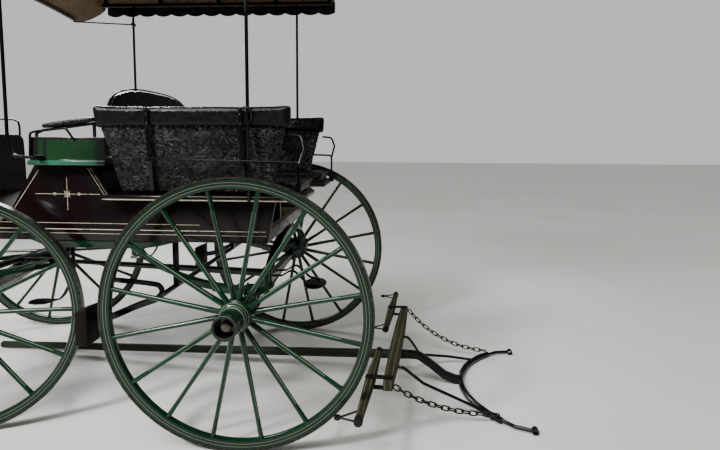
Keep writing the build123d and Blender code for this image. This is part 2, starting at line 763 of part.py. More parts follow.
def roof_section(ahead, drop, tilt, half, high, low):
    """Face across the roof between two depths below its outer arch."""
    back = Vector(cos(radians(tilt)), 0, sin(radians(tilt)))
    middle = (ROOF_FRONT - BROW_REACH * ahead, 0, ROOF_EDGE - BROW_DROP * drop)
    rise = bow_height(half, 0) - ROOF_EDGE + ROOF_T
    with BuildSketch(stand(body, middle, (0, 1, 0), back)) as face:
        with BuildLine():
            ThreePointArc((-half, rise - low), (0, ROOF_RISE - low), (half, rise - low))
            Line((half, rise - low), (half, rise - high))
            ThreePointArc((half, rise - high), (0, ROOF_RISE - high), (-half, rise - high))
            Line((-half, rise - high), (-half, rise - low))
        make_face()
    return face.sketch


RAIL_Z = bow_height(POST_Y + 12, 0.3 + BOW_T) - 24
with BuildPart() as posts:
    for hand in (-1, 1):
        y = hand * POST_Y
        iron(body, ((POST_REAR, y, LEDGE_Z + 2), (POST_REAR, y, RAIL_Z)), POST_R)
        iron(
            body,
            (
                (DRIVER_FRONT + 60, y, 1290), (POST_FRONT + 20, y, 1300), (POST_FRONT, y, 1385),
                (POST_FRONT, y, RAIL_Z),
            ),
            POST_R, 24,
        )
        with BuildSketch(side(body, hand * (POST_Y + DRIVER_HALF) / 2)):
            with Locations((DRIVER_FRONT + 60, 1290)):
                RegularPolygon(14, 8)
        extrude(amount=(POST_Y - DRIVER_HALF) / 2, both=True)
        # Stay from the post out to the corner of the brow, with its knob
        stay_y = hand * (POST_Y + 4)
        stay_z = ROOF_EDGE - STAY_DROP
        iron(
            body,
            (
                (POST_FRONT, stay_y, stay_z),
                (ROOF_FRONT - BROW_REACH + 10, stay_y, ROOF_EDGE - BROW_DROP - ROOF_T + 1),
            ),
            4.5,
        )
        with BuildSketch(side(body, y)):
            with Locations((POST_FRONT, stay_z)):
                RegularPolygon(13, 8)
        extrude(amount=13, both=True)
save("canopy_posts", posts)

with BuildPart() as canopy_frame:
    for hand in (-1, 1):
        with BuildSketch(side(body, hand * POST_Y)):
            with Locations(((ROOF_REAR + ROOF_FRONT) / 2, RAIL_Z + 12)):
                Rectangle(ROOF_REAR - ROOF_FRONT - 20, 24)
        extrude(amount=12, both=True)
    for x in (ROOF_FRONT + 30, -900, -500, -110, ROOF_REAR - 30):
        with BuildSketch(across(body, x)):
            with BuildLine():
                top = [(y, bow_height(y, 0.3)) for y in (-POST_Y - 12, 0, POST_Y + 12)]
                low = [(y, bow_height(y, 0.3 + BOW_T)) for y in (POST_Y + 12, 0, -POST_Y - 12)]
                ThreePointArc(*top)
                Line(top[2], low[0])
                ThreePointArc(*low)
                Line(low[2], top[0])
            make_face()
        extrude(amount=12, both=True)
    # Bow under the brow's tip, laid along its slope
    bow_ends = [roof_section(*BROW[count], POST_Y + 12, ROOF_T + 0.3, ROOF_T + 0.3 + BOW_T) for count in (-2, -1)]
    loft(bow_ends, ruled=True)
save("canopy_frame", canopy_frame)

with BuildPart() as roof:
    with BuildSketch(across(body, ROOF_REAR)):
        with BuildLine():
            tail_low = ROOF_EDGE - ROOF_T
            ThreePointArc((-ROOF_HALF, tail_low), (0, tail_low + ROOF_RISE), (ROOF_HALF, tail_low))
            Line((ROOF_HALF, tail_low), (ROOF_HALF, ROOF_EDGE))
            ThreePointArc((ROOF_HALF, ROOF_EDGE), (0, ROOF_EDGE + ROOF_RISE), (-ROOF_HALF, ROOF_EDGE))
            Line((-ROOF_HALF, ROOF_EDGE), (-ROOF_HALF, tail_low))
        make_face()
    extrude(amount=ROOF_FRONT - ROOF_REAR)
    roof_ends = [roof_section(*station, ROOF_HALF, 0, ROOF_T) for station in BROW]
    loft(roof_ends, ruled=True)
save("roof", roof)

# Scallops are worked out along the lower edge, three short runs to each
scallops = round((ROOF_REAR - ROOF_FRONT) / SCALLOP)
pitch = (ROOF_REAR - ROOF_FRONT) / scallops
skirt = ROOF_EDGE - VALANCE_DROP
edge = [(ROOF_REAR, ROOF_EDGE), (ROOF_FRONT, ROOF_EDGE), (ROOF_FRONT, skirt + SCALLOP_DEEP)]
for scallop in range(scallops):
    start = ROOF_FRONT + pitch * scallop
    edge += [(start + pitch * 0.22, skirt), (start + pitch * 0.78, skirt), (start + pitch, skirt + SCALLOP_DEEP)]
with BuildPart() as valance:
    for hand in (-1, 1):
        with BuildSketch(side(body, hand * (ROOF_HALF + VALANCE_T / 2))):
            Polygon(*edge)
        extrude(amount=VALANCE_T / 2, both=True)
save("valance", valance)

# Brake: cross shaft hung from the body, levers forward to the blocks ahead of the rear wheels
BRAKE_HALF = RIM_Y - 60
BLOCK_X = -REAR_WHEEL_R - BRAKE_GAP
BLOCK_Y = RIM_Y - 43.5
with BuildPart() as brake_bar:
    iron(body, ((BRAKE_X, -BRAKE_HALF, BRAKE_Z), (BRAKE_X, BRAKE_HALF, BRAKE_Z)), 13)
    for hand in (-1, 1):
        lever = hand * (BRAKE_HALF - 14)
        # Curved lever from the shaft forward and down to the block's head
        iron(
            body,
            (
                (BRAKE_X, lever, BRAKE_Z), (-470, lever, 625), (-590, lever, 572), (-640, lever, 562),
                (BLOCK_X - 1, lever, 562),
            ),
            15, 60, (0, 0, 1), 14,
        )
        # Upper lever and the flat pull rod that runs forward
        iron(
            body,
            ((BRAKE_X, lever, BRAKE_Z), (-352, lever, 690), (-372, lever, 722), (-440, lever, 730), (-614, lever, 743)),
            11, 26, (0, 0, 1), 10,
        )
        hanger = hand * (SPRING_Y - LEAF_W / 2 - 10)
        iron(body, ((BRAKE_X, hanger, BRAKE_Z), (BRAKE_X, hanger, SILL_Z)), 14, 0, (1, 0, 0), 12)
save("brake_bar", brake_bar)

with BuildPart() as brake_blocks:
    for hand in (-1, 1):
        with BuildSketch(side(body, hand * BLOCK_Y)):
            with BuildLine():
                Polyline(
                    (BLOCK_X - BLOCK_T, 456), (BLOCK_X - 1, 456), (BLOCK_X - 1, 630), (BLOCK_X - BLOCK_T, 608),
                    (BLOCK_X - BLOCK_T, 456),
                )
            make_face()
        extrude(amount=50, both=True)
save("brake_blocks", brake_blocks)

# Steps: an oval tread behind the rear axle on two irons, and the driver's tread each side
with BuildPart() as steps:
    for hand in (-1, 1):
        iron(
            body,
            (
                (AXLE_SQ / 2, hand * 60, REAR_WHEEL_R + 2), (60, hand * 60, REAR_WHEEL_R + 2),
                (120, hand * 60, 650), (200, hand * 60, 575), (262, hand * 60, 562),
            ),
            12, 30, (0, 1, 0), 8,
        )
        arm = hand * (BODY_HALF - 22)
        iron(
            body,
            (
                (STEP_X + 170, arm, HANGER_Z), (STEP_X + 170, arm, 700), (STEP_X + 100, arm, 580),
                (STEP_X - 20, arm, STEP_Z + 4),
            ),
            12, 60, (0, 1, 0), 8,
        )
        with BuildSketch(level(body, STEP_Z)):
            with Locations((STEP_X, hand * (BODY_HALF - 10))):
                Polygon((58, 0), (42, 34), (0, 44), (-42, 34), (-58, 0), (-42, -34), (0, -44), (42, -34))
        extrude(amount=8)
    with BuildSketch(level(body, 550)):
        with Locations((240, 0)):
            Polygon((66, 0), (58, 56), (34, 96), (0, 110), (-34, 96), (-58, 56), (-66, 0), (-58, -56), (-34, -96),
                    (0, -110), (34, -96), (58, -56))
    extrude(amount=8)
save("steps", steps)

# Draught irons on the front axle, with the eyes that take the pole's bow
EYE_REACH = 262
EYE_Z = FRONT_WHEEL_R - 20
with BuildPart() as draught_irons:
    for hand in (-1, 1):
        with BuildSketch(side(gear, hand * (BOW_HALF - 24))):
            with BuildLine():
                Polyline(
                    (-AXLE_SQ / 2, EYE_Z + 3), (-AXLE_SQ / 2, EYE_Z + 37), (12 - EYE_REACH, EYE_Z + 15),
                    (12 - EYE_REACH, EYE_Z - 15), (-AXLE_SQ / 2, EYE_Z + 3),
                )
            make_face()
            with Locations((-EYE_REACH, EYE_Z)):
                Circle(EYE_R + 4)
                Circle(EYE_BORE, mode=Mode.SUBTRACT)
        extrude(amount=8, both=True)
save("draught_irons", draught_irons)

# The pole, laid under the carriage: eight-sided and tapering to its tip
with BuildPart() as pole_beam:
    with BuildSketch(across(pole, -POLE_L)):
        with Locations((0, 22)):
            RegularPolygon(22, 8, rotation=22.5)
    with BuildSketch(across(pole, 60)):
        with Locations((0, POLE_Z)):
            RegularPolygon(POLE_D / 2, 8, rotation=22.5)
    loft(ruled=True)
save("pole", pole_beam)

# Its bow: an arched bar with an eye at each end, a swan neck up to the pole, and two braces
SAG = 545 - BOW_MIDDLE
BOW_ARC_R = (BOW_SPAN**2 + SAG**2) / (2 * SAG)
swing = degrees(asin(BOW_SPAN / BOW_ARC_R))
arch = []
for part in range(11):
    turn = radians(swing * (1 - part / 5))
    arch.append((BOW_MIDDLE + BOW_ARC_R * (1 - cos(turn)), BOW_ARC_R * sin(turn), BOW_Z))
with BuildPart() as bow:
    iron(pole, arch, BOW_R)
    for hand in (-1, 1):
        iron(
            pole,
            (
                (515, hand * (BOW_SPAN - 32), BOW_Z), (600, hand * (BOW_HALF - 22), BOW_Z),
                (BOW_REACH - EYE_R + 3, hand * BOW_HALF, BOW_Z),
            ),
            9, 40,
        )
        with BuildSketch(side(pole, hand * BOW_HALF)) as eye:
            with Locations((BOW_REACH, BOW_Z)):
                Circle(EYE_R)
                Circle(EYE_BORE, mode=Mode.SUBTRACT)
        extrude(eye.sketch, amount=14, both=True)
    iron(
        pole,
        ((60.5, 0, POLE_Z), (120, 0, POLE_Z), (190, 0, 105), (270, 0, 44), (330, 0, 24), (BOW_MIDDLE + 6, 0, 22)),
        21, 40, (0, 1, 0), 36,
    )
    iron(
        pole,
        (
            (32.3, 78, TREE_Z - 10), (52, 78, TREE_Z - 10), (76, 96, 186), (124, 160, 84), (296, 258, 42),
            (BOW_MIDDLE + 82, BOW_SPAN - 117, BOW_Z + 6),
        ),
        8, 40,
    )
    iron(
        pole,
        ((30.5, -322, TREE_Z - 12), (54, -322, TREE_Z - 12), (160, -321, 140), (380, -312, 50), (450, -318, BOW_Z + 6)),
        8, 30,
    )
save("pole_bow", bow)

with BuildPart() as doubletree:
    # Bar with tapering ends
    with BuildSketch(level(pole, TREE_Z - 24)):
        Polygon(
            (-30, -200), (-30, 200), (-22, TREE_HALF + 40), (22, TREE_HALF + 40), (32, 200), (32, -200),
            (22, -TREE_HALF - 40), (-22, -TREE_HALF - 40),
        )
    extrude(amount=44)
    with BuildSketch(across(pole, 0)):
        with Locations((0, (POLE_Z + TREE_Z - 24) / 2)):
            Rectangle(50, TREE_Z - 24 - POLE_Z)
    extrude(amount=25, both=True)
    add(pole_beam.part, mode=Mode.SUBTRACT)
    # Clips that carry the singletrees: a strap above and one below each, with its pin
    for hand in (-1, 1):
        for z in (TREE_Z - 32, TREE_Z + 20):
            with BuildSketch(level(pole, z)):
                with Locations((-SINGLE_GAP / 2, hand * TREE_HALF)):
                    Rectangle(SINGLE_GAP + 44, 34)
            extrude(amount=6)
        with BuildSketch(level(pole, TREE_Z - 28)):
            with Locations((-SINGLE_GAP, hand * TREE_HALF)):
                Circle(PIN_R)
        extrude(amount=50)
save("doubletree", doubletree)

for name, hand in (("left", -1), ("right", 1)):
    middle = hand * TREE_HALF
    with BuildPart() as single:
        # Bar swelling towards its middle: distance from the middle, half width, height
        for far, wide, high in ((-SINGLE_HALF, 15, 28), (0, 25, 36), (SINGLE_HALF, 15, 28)):
            with BuildSketch(stand(pole, (-SINGLE_GAP, middle + far, TREE_Z - 2), (1, 0, 0), (0, -1, 0))):
                Polygon(
                    (wide, high / 4), (wide / 2, high / 2), (-wide / 2, high / 2), (-wide, high / 4),
                    (-wide, -high / 4), (-wide / 2, -high / 2), (wide / 2, -high / 2), (wide, -high / 4),
                )
        loft(ruled=True)
        # Trace irons: two rods from each end to a small eye
        for end in (-1, 1):
            tip = (-SINGLE_GAP - 88, middle + end * (SINGLE_HALF - 40), TREE_Z - 10)
            for root in (SINGLE_HALF - 8, SINGLE_HALF - 98):
                iron(pole, ((-SINGLE_GAP - 8, middle + end * root, TREE_Z - 3), tip), 4.5)
            with BuildSketch(level(pole, TREE_Z - 17)) as loop:
                with Locations((tip[0] - 6, tip[1])):
                    RegularPolygon(15, 8)
                    RegularPolygon(7, 8, mode=Mode.SUBTRACT)
            extrude(loop.sketch, amount=14)
            with BuildSketch(stand(pole, (-SINGLE_GAP, middle + end * (SINGLE_HALF + 2), TREE_Z - 2), (1, 0, 0), (0, -end, 0))) as cap:
                RegularPolygon(20, 8, rotation=22.5)
            extrude(cap.sketch, amount=34)
        with BuildSketch(level(pole, TREE_Z - 22)) as hole:
            with Locations((-SINGLE_GAP, middle)):
                Circle(PIN_R + ARM_FIT)
        extrude(hole.sketch, amount=44, mode=Mode.SUBTRACT)
    save(f"singletree_{name}", single)

# Stay chains from the doubletree's ends down to the bow, links turned in alternation
with BuildPart() as chains:
    for hand in (-1, 1):
        with BuildLine() as run:
            points = ((30, hand * 548, TREE_Z - 4), (240, hand * 448, 92), (530, hand * 386, BOW_Z + BOW_R + 9))
            ThreePointArc(*[(pole * Location(point)).position for point in points])
        links = round(run.edge().length / (LINK_L - 2 * LINK_D - 1))
        for link in range(links):
            place = (link + 0.5) / links
            along = run.line % place
            flat = along.cross(Vector(0, 0, 1))
            facing = along.cross(flat) if (links - link) % 2 else flat
            with BuildSketch(Plane(origin=run.line @ place, x_dir=along, z_dir=facing)) as ring:
                Polygon(
                    (LINK_L / 2, 0), (LINK_L / 4, LINK_W / 2), (-LINK_L / 4, LINK_W / 2),
                    (-LINK_L / 2, 0), (-LINK_L / 4, -LINK_W / 2), (LINK_L / 4, -LINK_W / 2),
                )
                offset(amount=-LINK_D, mode=Mode.SUBTRACT)
            extrude(ring.sketch, amount=LINK_D / 2, both=True)
save("stay_chains", chains)
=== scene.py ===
# %% [markdown]
# # Dressing a canopy-top wagonette
# The solid model already has every beam, wheel and seat in its place. Here it gets paint, leather, cloth and wear.
# We load it first, because everything that follows is set against it, and we keep the box that it fills,
# so that at the end its size can be printed beside the size of the dressed scene.

import math

import bpy
from mathutils import Matrix, Vector, noise


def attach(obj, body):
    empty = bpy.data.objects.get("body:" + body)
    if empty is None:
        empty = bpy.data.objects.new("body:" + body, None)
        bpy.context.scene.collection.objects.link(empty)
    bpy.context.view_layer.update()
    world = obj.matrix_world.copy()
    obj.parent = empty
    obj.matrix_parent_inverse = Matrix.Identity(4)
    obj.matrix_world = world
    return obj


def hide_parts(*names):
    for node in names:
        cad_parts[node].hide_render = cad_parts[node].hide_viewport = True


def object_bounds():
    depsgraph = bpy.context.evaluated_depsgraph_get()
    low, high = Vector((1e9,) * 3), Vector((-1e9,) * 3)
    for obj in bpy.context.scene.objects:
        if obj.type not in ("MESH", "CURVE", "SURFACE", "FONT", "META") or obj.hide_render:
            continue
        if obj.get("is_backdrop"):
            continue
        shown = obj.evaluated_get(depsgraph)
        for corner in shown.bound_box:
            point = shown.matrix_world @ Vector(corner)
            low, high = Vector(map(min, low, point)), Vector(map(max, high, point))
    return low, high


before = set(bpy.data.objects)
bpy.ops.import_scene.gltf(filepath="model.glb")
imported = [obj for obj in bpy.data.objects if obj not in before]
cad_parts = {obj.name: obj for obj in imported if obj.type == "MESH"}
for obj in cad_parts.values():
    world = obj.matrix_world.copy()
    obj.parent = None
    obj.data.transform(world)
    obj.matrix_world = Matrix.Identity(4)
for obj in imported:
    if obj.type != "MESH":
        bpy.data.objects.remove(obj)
cad_low, cad_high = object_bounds()
cad_low, cad_high = cad_low.copy(), cad_high.copy()

# %% [markdown]
# ## Where the main things are
# All lengths are in metres. X runs to the tail, Y to the carriage's right side, Z up from the floor.
# The rear axle is the place that most heights and distances were measured from, so it gets a name here.

# %% Named places
AXLE_X = 0.416048  # the rear axle
WHEELBASE = 1.548
KINGPIN_X = AXLE_X - WHEELBASE
STEER = math.radians(16)  # the front gear stands turned by this much
RIM_Y = 0.7335  # from the middle line to the middle of a rim
REAR_R = 0.610
FRONT_R = 0.565
POLE_X = AXLE_X + 0.720  # the pivot of the bars on the pole
POLE_YAW = math.radians(-5.5)
TREE_Z = 0.230  # the height of the bars

# %% [markdown]
# ## The camera
# The photograph was taken from the carriage's left rear, at the height of the seats, with a wide lens.
# A camera has a position, a direction and a lens. The turn is written as three small turns from
# looking straight across: to the side, down, and a slight roll. The shift keeps the horizon where it was.

# %% Camera
YAW, PITCH, ROLL = math.radians(3.57167), math.radians(-5.11482), math.radians(-0.28615)
camera_data = bpy.data.cameras.new("camera")
camera = bpy.data.objects.new("camera", camera_data)
bpy.context.collection.objects.link(camera)
turn = Matrix.Rotation(YAW, 4, "Z") @ Matrix.Rotation(PITCH, 4, "X") @ Matrix.Rotation(ROLL, 4, "Y")
stand = Matrix.Translation((1.09016, -2.83706, 1.37520))
camera.matrix_world = stand @ turn @ Matrix.Rotation(math.radians(90), 4, "X")
camera_data.lens = 25.25
camera_data.sensor_width = 36
camera_data.shift_y = -0.05398
camera_data.clip_end = 60
bpy.context.scene.camera = camera
print("camera at", [round(value, 2) for value in camera.location])

# %% [markdown]
# ## Small tools
# Operators act on whatever is selected, so before each new piece we leave edit mode and let go of everything.
# A finished piece has its place in its mesh and not in its object, as the solid pieces have.

# %% Selecting
def rest():
    """Leave edit mode and select nothing."""
    if bpy.context.object and bpy.context.object.mode != "OBJECT":
        bpy.ops.object.mode_set(mode="OBJECT")
    bpy.ops.object.select_all(action="DESELECT")


def take(piece):
    """Make one piece the only selected and the active one."""
    rest()
    piece.select_set(True)
    bpy.context.view_layer.objects.active = piece
    return piece


def edit(action="SELECT"):
    """Go into edit mode with everything selected, or with nothing for DESELECT."""
    bpy.ops.object.mode_set(mode="EDIT")
    bpy.ops.mesh.select_all(action=action)


def leave():
    """Go back to object mode, which writes the edit into the mesh."""
    bpy.ops.object.mode_set(mode="OBJECT")


# %% Finishing, joining and copying
def apply_all(piece):
    """Apply every modifier in turn."""
    take(piece)
    for modifier in list(piece.modifiers):
        bpy.ops.object.modifier_apply(modifier=modifier.name)
    return piece


def smooth(piece, degrees):
    """Round shading, except over edges sharper than this."""
    take(piece)
    bpy.ops.object.shade_smooth_by_angle(angle=math.radians(degrees))
    return piece


def joined(name, pieces):
    """Several pieces made one mesh."""
    rest()
    for piece in pieces:
        piece.select_set(True)
    bpy.context.view_layer.objects.active = pieces[0]
    bpy.ops.object.join()
    whole = bpy.context.object
    whole.name = name
    return whole


def copied(piece, matrix, name=None):
    """A copy with its own mesh, moved by a matrix that goes straight into the mesh."""
    twin = piece.copy()
    twin.data = piece.data.copy()
    bpy.context.collection.objects.link(twin)
    twin.data.transform(matrix)
    if matrix.determinant() < 0:
        twin.data.flip_normals()
    if name:
        twin.name = name
    return twin


# %% Carrying and handing over
def carried(across, up, out, spot):
    """The matrix that turns X, Y and Z to three directions and moves the origin to a spot."""
    return Matrix((*zip(across, up, out, spot), (0, 0, 0, 1)))


def handed(piece, finish, node=None, body="carriage"):
    """Give a piece its finish in a slot of its own, hide the solid it stands for, and hang it on the body it rides
    on.
    """
    piece.data.materials.clear()
    piece.data.materials.append(finish)
    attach(piece, body)
    if node:
        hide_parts(node)
    return piece


# %% [markdown]
# ## Drawing out a shape ring by ring
# Hubs, spokes, wheel rims and bolt heads are all rings that grow and shrink along a line. By hand we would add
# a circle, extrude it, scale the new ring, and go on. This helper does just that from a small table
# of rings: how far along, and how wide in the two directions across.

# %% Ring by ring
def drawn_out(name, rings, sides, closed=False):
    """A shape from rings of place along, width and depth. A closed one ends on its first ring."""
    rest()
    height, wide, deep = rings[0]
    bpy.ops.mesh.primitive_circle_add(vertices=sides, radius=1, fill_type="NOTHING" if closed else "NGON")
    piece = bpy.context.object
    piece.name = name
    edit()
    bpy.ops.transform.resize(value=(wide, deep, 1), center_override=(0, 0, 0))
    bpy.ops.transform.translate(value=(0, 0, height))
    for before, after in zip(rings, rings[1:]):
        bpy.ops.mesh.extrude_region_move(TRANSFORM_OT_translate={"value": (0, 0, after[0] - before[0])})
        grow = (after[1] / before[1], after[2] / before[2], 1)
        bpy.ops.transform.resize(value=grow, center_override=(0, 0, after[0]))
    bpy.ops.mesh.select_all(action="SELECT")
    if closed:
        bpy.ops.mesh.remove_doubles(threshold=0.00002)
    bpy.ops.mesh.normals_make_consistent(inside=False)
    leave()
    return piece


def turned(name, profile, sides, closed=False):
    """The same for round shapes, from pairs of height and radius."""
    return drawn_out(name, [(height, radius, radius) for height, radius in profile], sides, closed)


# %% [markdown]
# ## Rods
# Forged irons are bars bent at the anvil. A smooth path curve with a round bevel gives that bent bar,
# and converting it to a mesh lets it be joined to other pieces.

# %% Rods
def rod(name, points, radius, sides=3):
    """A round bar along a smooth line that follows the points."""
    rest()
    bpy.ops.curve.primitive_nurbs_path_add()
    piece = bpy.context.object
    piece.name = name
    curve = piece.data
    curve.splines.clear()
    spline = curve.splines.new("NURBS")
    spline.points.add(len(points) - 1)
    for point, place in zip(spline.points, points):
        point.co = (*place, 1)
    spline.order_u = 3
    spline.use_endpoint_u = True
    spline.resolution_u = 6
    curve.bevel_depth = radius
    curve.bevel_resolution = sides
    curve.use_fill_caps = True
    take(piece)
    bpy.ops.object.convert(target="MESH")
    return smooth(bpy.context.object, 50)


# %% [markdown]
# ## Rounding the edges of the solid pieces
# Real timber and iron has no knife-sharp edge: planes, paint and hands have rounded it, and that thin rounding is
# what catches the light. We copy a solid's mesh, merge its loose triangles into faces, and bevel its edges a
# little. The copy then stands for the solid.

# %% Softened copies
def softened(node, body, width):
    """A copy of a solid with small bevels, which stands for it."""
    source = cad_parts[node]
    piece = source.copy()
    piece.data = source.data.copy()
    piece.parent = None
    piece.matrix_world = Matrix.Identity(4)
    piece.name = node + "_eased"
    bpy.context.collection.objects.link(piece)
    take(piece)
    edit()
    bpy.ops.mesh.remove_doubles(threshold=0.00001)
    bpy.ops.mesh.dissolve_limited(angle_limit=math.radians(1))
    leave()
    edge = piece.modifiers.new("worn edge", "BEVEL")
    edge.width = width
    edge.segments = 2
    edge.limit_method = "ANGLE"
    edge.angle_limit = math.radians(25)
    apply_all(piece)
    smooth(piece, 40)
    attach(piece, body)
    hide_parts(node)
    return piece


# %% [markdown]
# ## Wiring materials
# A material is a small network. These helpers place a node, join two sockets, and do sums, so that the cells below
# read as recipes. NET keeps the network that is being made, and every helper works in that one.

# %% Node helpers
NET = {}


def put(kind, **settings):
    """Place a node, with its socket values and its settings."""
    node = NET["tree"].nodes.new(kind)
    for key, value in settings.items():
        if key in node.inputs:
            node.inputs[key].default_value = value
        else:
            setattr(node, key, value)
    return node


def feed(source, target):
    """Join two sockets, or write a plain value into one."""
    if isinstance(source, (int, float, tuple)):
        target.default_value = source
    else:
        NET["tree"].links.new(source, target)


def fed(kind, *values, output=0, **settings):
    """Place a node, feed its first sockets in order, and give back one output."""
    node = put(kind, **settings)
    for socket, value in zip(node.inputs, values):
        feed(value, socket)
    return node.outputs[output]


# %% Sums
def calc(operation, *values):
    """One sum of plain values or sockets. The named sums below are the ones that come often."""
    return fed("ShaderNodeMath", *values, operation=operation)


def plus(first, second):
    return calc("ADD", first, second)


def minus(first, second):
    return calc("SUBTRACT", first, second)


def times(first, second):
    return calc("MULTIPLY", first, second)


def larger(first, second):
    return calc("MAXIMUM", first, second)


def above(value, limit):
    return calc("GREATER_THAN", value, limit)


def below(value, limit):
    return calc("LESS_THAN", value, limit)


def absolute(value):
    return calc("ABSOLUTE", value)


def within(value, low, high):
    """One where a value lies between two limits, and nought elsewhere."""
    return times(above(value, low), below(value, high))


def near_value(value, target, half):
    """One where a value lies within half a width of a target, and nought elsewhere."""
    return below(absolute(minus(value, target)), half)


def vector_sum(operation, *values, output=0):
    return fed("ShaderNodeVectorMath", *values, output=output, operation=operation)


def dot(first, second):
    return vector_sum("DOT_PRODUCT", first, second, output="Value")


def parts_of(vector):
    """The X, Y and Z of a vector."""
    node = put("ShaderNodeSeparateXYZ")
    feed(vector, node.inputs[0])
    return node.outputs


# %% Blends and clouds
def blended(mask, first, second):
    """The first colour where the mask is nought, the second where it is one."""
    node = put("ShaderNodeMix", data_type="RGBA")
    for number, value in ((0, mask), (6, first), (7, second)):
        feed(value, node.inputs[number])
    return node.outputs[2]


def between(value, low, high, to_low=0.0, to_high=1.0):
    """A soft step from one value to another while the first value goes from low to high."""
    return fed("ShaderNodeMapRange", value, low, high, to_low, to_high, interpolation_type="SMOOTHSTEP")


def clouds(place, scale, detail, roughness=0.55, stretch=None):
    """Cloudy noise, drawn out along one direction if it is given a stretch."""
    if stretch:
        place = fed("ShaderNodeMapping", place, Scale=stretch)
    return fed("ShaderNodeTexNoise", place, Scale=scale, Detail=detail, Roughness=roughness)


# %% A shared effect's frame
COLOR, FLOAT, VECTOR = "NodeSocketColor", "NodeSocketFloat", "NodeSocketVector"
SURFACE = [("Color", COLOR), ("Roughness", FLOAT), ("Height", FLOAT)]


def new_group(name, inputs, outputs):
    """An empty node group with named sockets."""
    group = bpy.data.node_groups.new(name, "ShaderNodeTree")
    for label, kind, value in inputs:
        socket = group.interface.new_socket(label, in_out="INPUT", socket_type=kind)
        if value is not None:
            socket.default_value = value
    for label, kind in outputs:
        group.interface.new_socket(label, in_out="OUTPUT", socket_type=kind)
    NET["tree"] = group
    return group, put("NodeGroupInput").outputs, put("NodeGroupOutput").inputs


# %% [markdown]
# ## Effects that several finishes share
# Old coach paint is never one colour: it is cloudy, dusty in patches, and finely scratched. The first group gives
# that for any paint. The second rules a painted line between two points of a panel's side, as a liner does
# with a long brush. The third is the grain of leather, with pale marks on its wrinkles that are partly rubbed wear
# and partly painted highlights, and the fourth the grain of wood.

# %% Aged paint
aged_paint, given, result = new_group(
    "aged paint",
    [
        ("Place", VECTOR, None), ("Paint", COLOR, (0, 0, 0, 1)), ("Dust", COLOR, (0.2, 0.18, 0.14, 1)),
        ("Age", FLOAT, 0.3),
    ],
    SURFACE,
)
cloudy = clouds(given["Place"], 7, 5)
fine = clouds(given["Place"], 60, 6, 0.7)
scratches = clouds(given["Place"], 30, 8, 0.8, (1, 1, 14))
darker = blended(0.35, given["Paint"], (0.0, 0.0, 0.0, 1))
shade = blended(between(cloudy, 0.3, 0.7), given["Paint"], darker)
dusty = times(between(fine, 0.5, 0.8), given["Age"])
worn = times(between(scratches, 0.6, 0.75), given["Age"])
marks = larger(dusty, worn)
feed(blended(marks, shade, given["Dust"]), result["Color"])
feed(plus(between(cloudy, 0.2, 0.8, 0.14, 0.30), times(marks, 0.5)), result["Roughness"])
feed(minus(times(fine, 0.35), worn), result["Height"])

# %% A ruled line
ruled_line, given, result = new_group(
    "ruled line",
    [("Place", VECTOR, None), ("From", VECTOR, None), ("To", VECTOR, None), ("Half width", FLOAT, 0.002)],
    [("Mask", FLOAT)],
)
run = vector_sum("SUBTRACT", given["To"], given["From"])
away = vector_sum("SUBTRACT", given["Place"], given["From"])
length = larger(dot(run, run), 0.000001)
share = calc("DIVIDE", dot(away, run), length)
cross = vector_sum("CROSS_PRODUCT", away, run)
gap = calc("SQRT", calc("DIVIDE", dot(cross, cross), length))
feed(times(below(gap, given["Half width"]), within(share, 0.0, 1.0)), result["Mask"])

# %% Leather grain
leather_grain, given, result = new_group(
    "leather grain",
    [
        ("Place", VECTOR, None), ("Dark", COLOR, (0, 0, 0, 1)), ("Wear and highlight", COLOR, (0.1, 0.1, 0.1, 1)),
        ("Crinkle", FLOAT, 1.0),
    ],
    SURFACE,
)
warp = fed("ShaderNodeTexNoise", given["Place"], output="Color", Scale=22.0, Detail=3.0)
bent = vector_sum("MULTIPLY_ADD", warp, (0.03, 0.03, 0.03), given["Place"])
cells = fed("ShaderNodeTexVoronoi", bent, output="Distance", Scale=58.0, feature="DISTANCE_TO_EDGE")
pores = fed("ShaderNodeTexVoronoi", given["Place"], output="Distance", Scale=420.0, feature="F1")
folds = clouds(bent, 48, 3, 0.55)
broad = clouds(given["Place"], 6, 3)
# A wrinkle lies where a cloud crosses its middle value, and it runs lengthwise
wrinkle = clouds(vector_sum("MULTIPLY", bent, (0.5, 1.0, 1.5)), 52, 2, 0.5)
ridge = times(between(absolute(minus(wrinkle, 0.5)), 0.008, 0.032, 1.0, 0.0), given["Crinkle"])
wrinkled = times(plus(times(between(cells, 0.0, 0.12), 0.5), folds), given["Crinkle"])
relief = calc("MULTIPLY_ADD", ridge, 0.22, plus(wrinkled, times(pores, 0.12)))
# Pale marks on fold tops and along wrinkle ridges, in patches: partly rubbed wear, partly painted highlights on the
# creases
wear_and_highlight = larger(between(folds, 0.58, 0.75, 0.0, 0.3), ridge)
wear_and_highlight = times(wear_and_highlight, between(broad, 0.38, 0.60, 0.10, 1.0))
feed(blended(wear_and_highlight, given["Dark"], given["Wear and highlight"]), result["Color"])
feed(between(folds, 0.3, 0.75, 0.20, 0.40), result["Roughness"])
feed(relief, result["Height"])

# %% Wood grain
wood_grain, given, result = new_group(
    "wood grain",
    [("Along", VECTOR, None), ("Dark", COLOR, (0, 0, 0, 1)), ("Pale", COLOR, (0.2, 0.2, 0.2, 1))],
    SURFACE,
)
streaks = clouds(given["Along"], 26, 7, 0.7, (1, 14, 14))
patches = clouds(given["Along"], 5, 4)
blend_in = calc("MULTIPLY_ADD", between(streaks, 0.35, 0.7), 0.7, times(patches, 0.3))
feed(blended(blend_in, given["Dark"], given["Pale"]), result["Color"])
feed(between(streaks, 0.3, 0.7, 0.45, 0.75), result["Roughness"])
feed(streaks, result["Height"])
print("shared effects:", [group.name for group in bpy.data.node_groups])

# %% [markdown]
# ## A finish from an effect
# Each finish takes one of the effects, gives it its own colours, and sets the constant things, such as coat and
# metal, on the shader itself. Object coordinates keep a pattern at its real size on every piece.

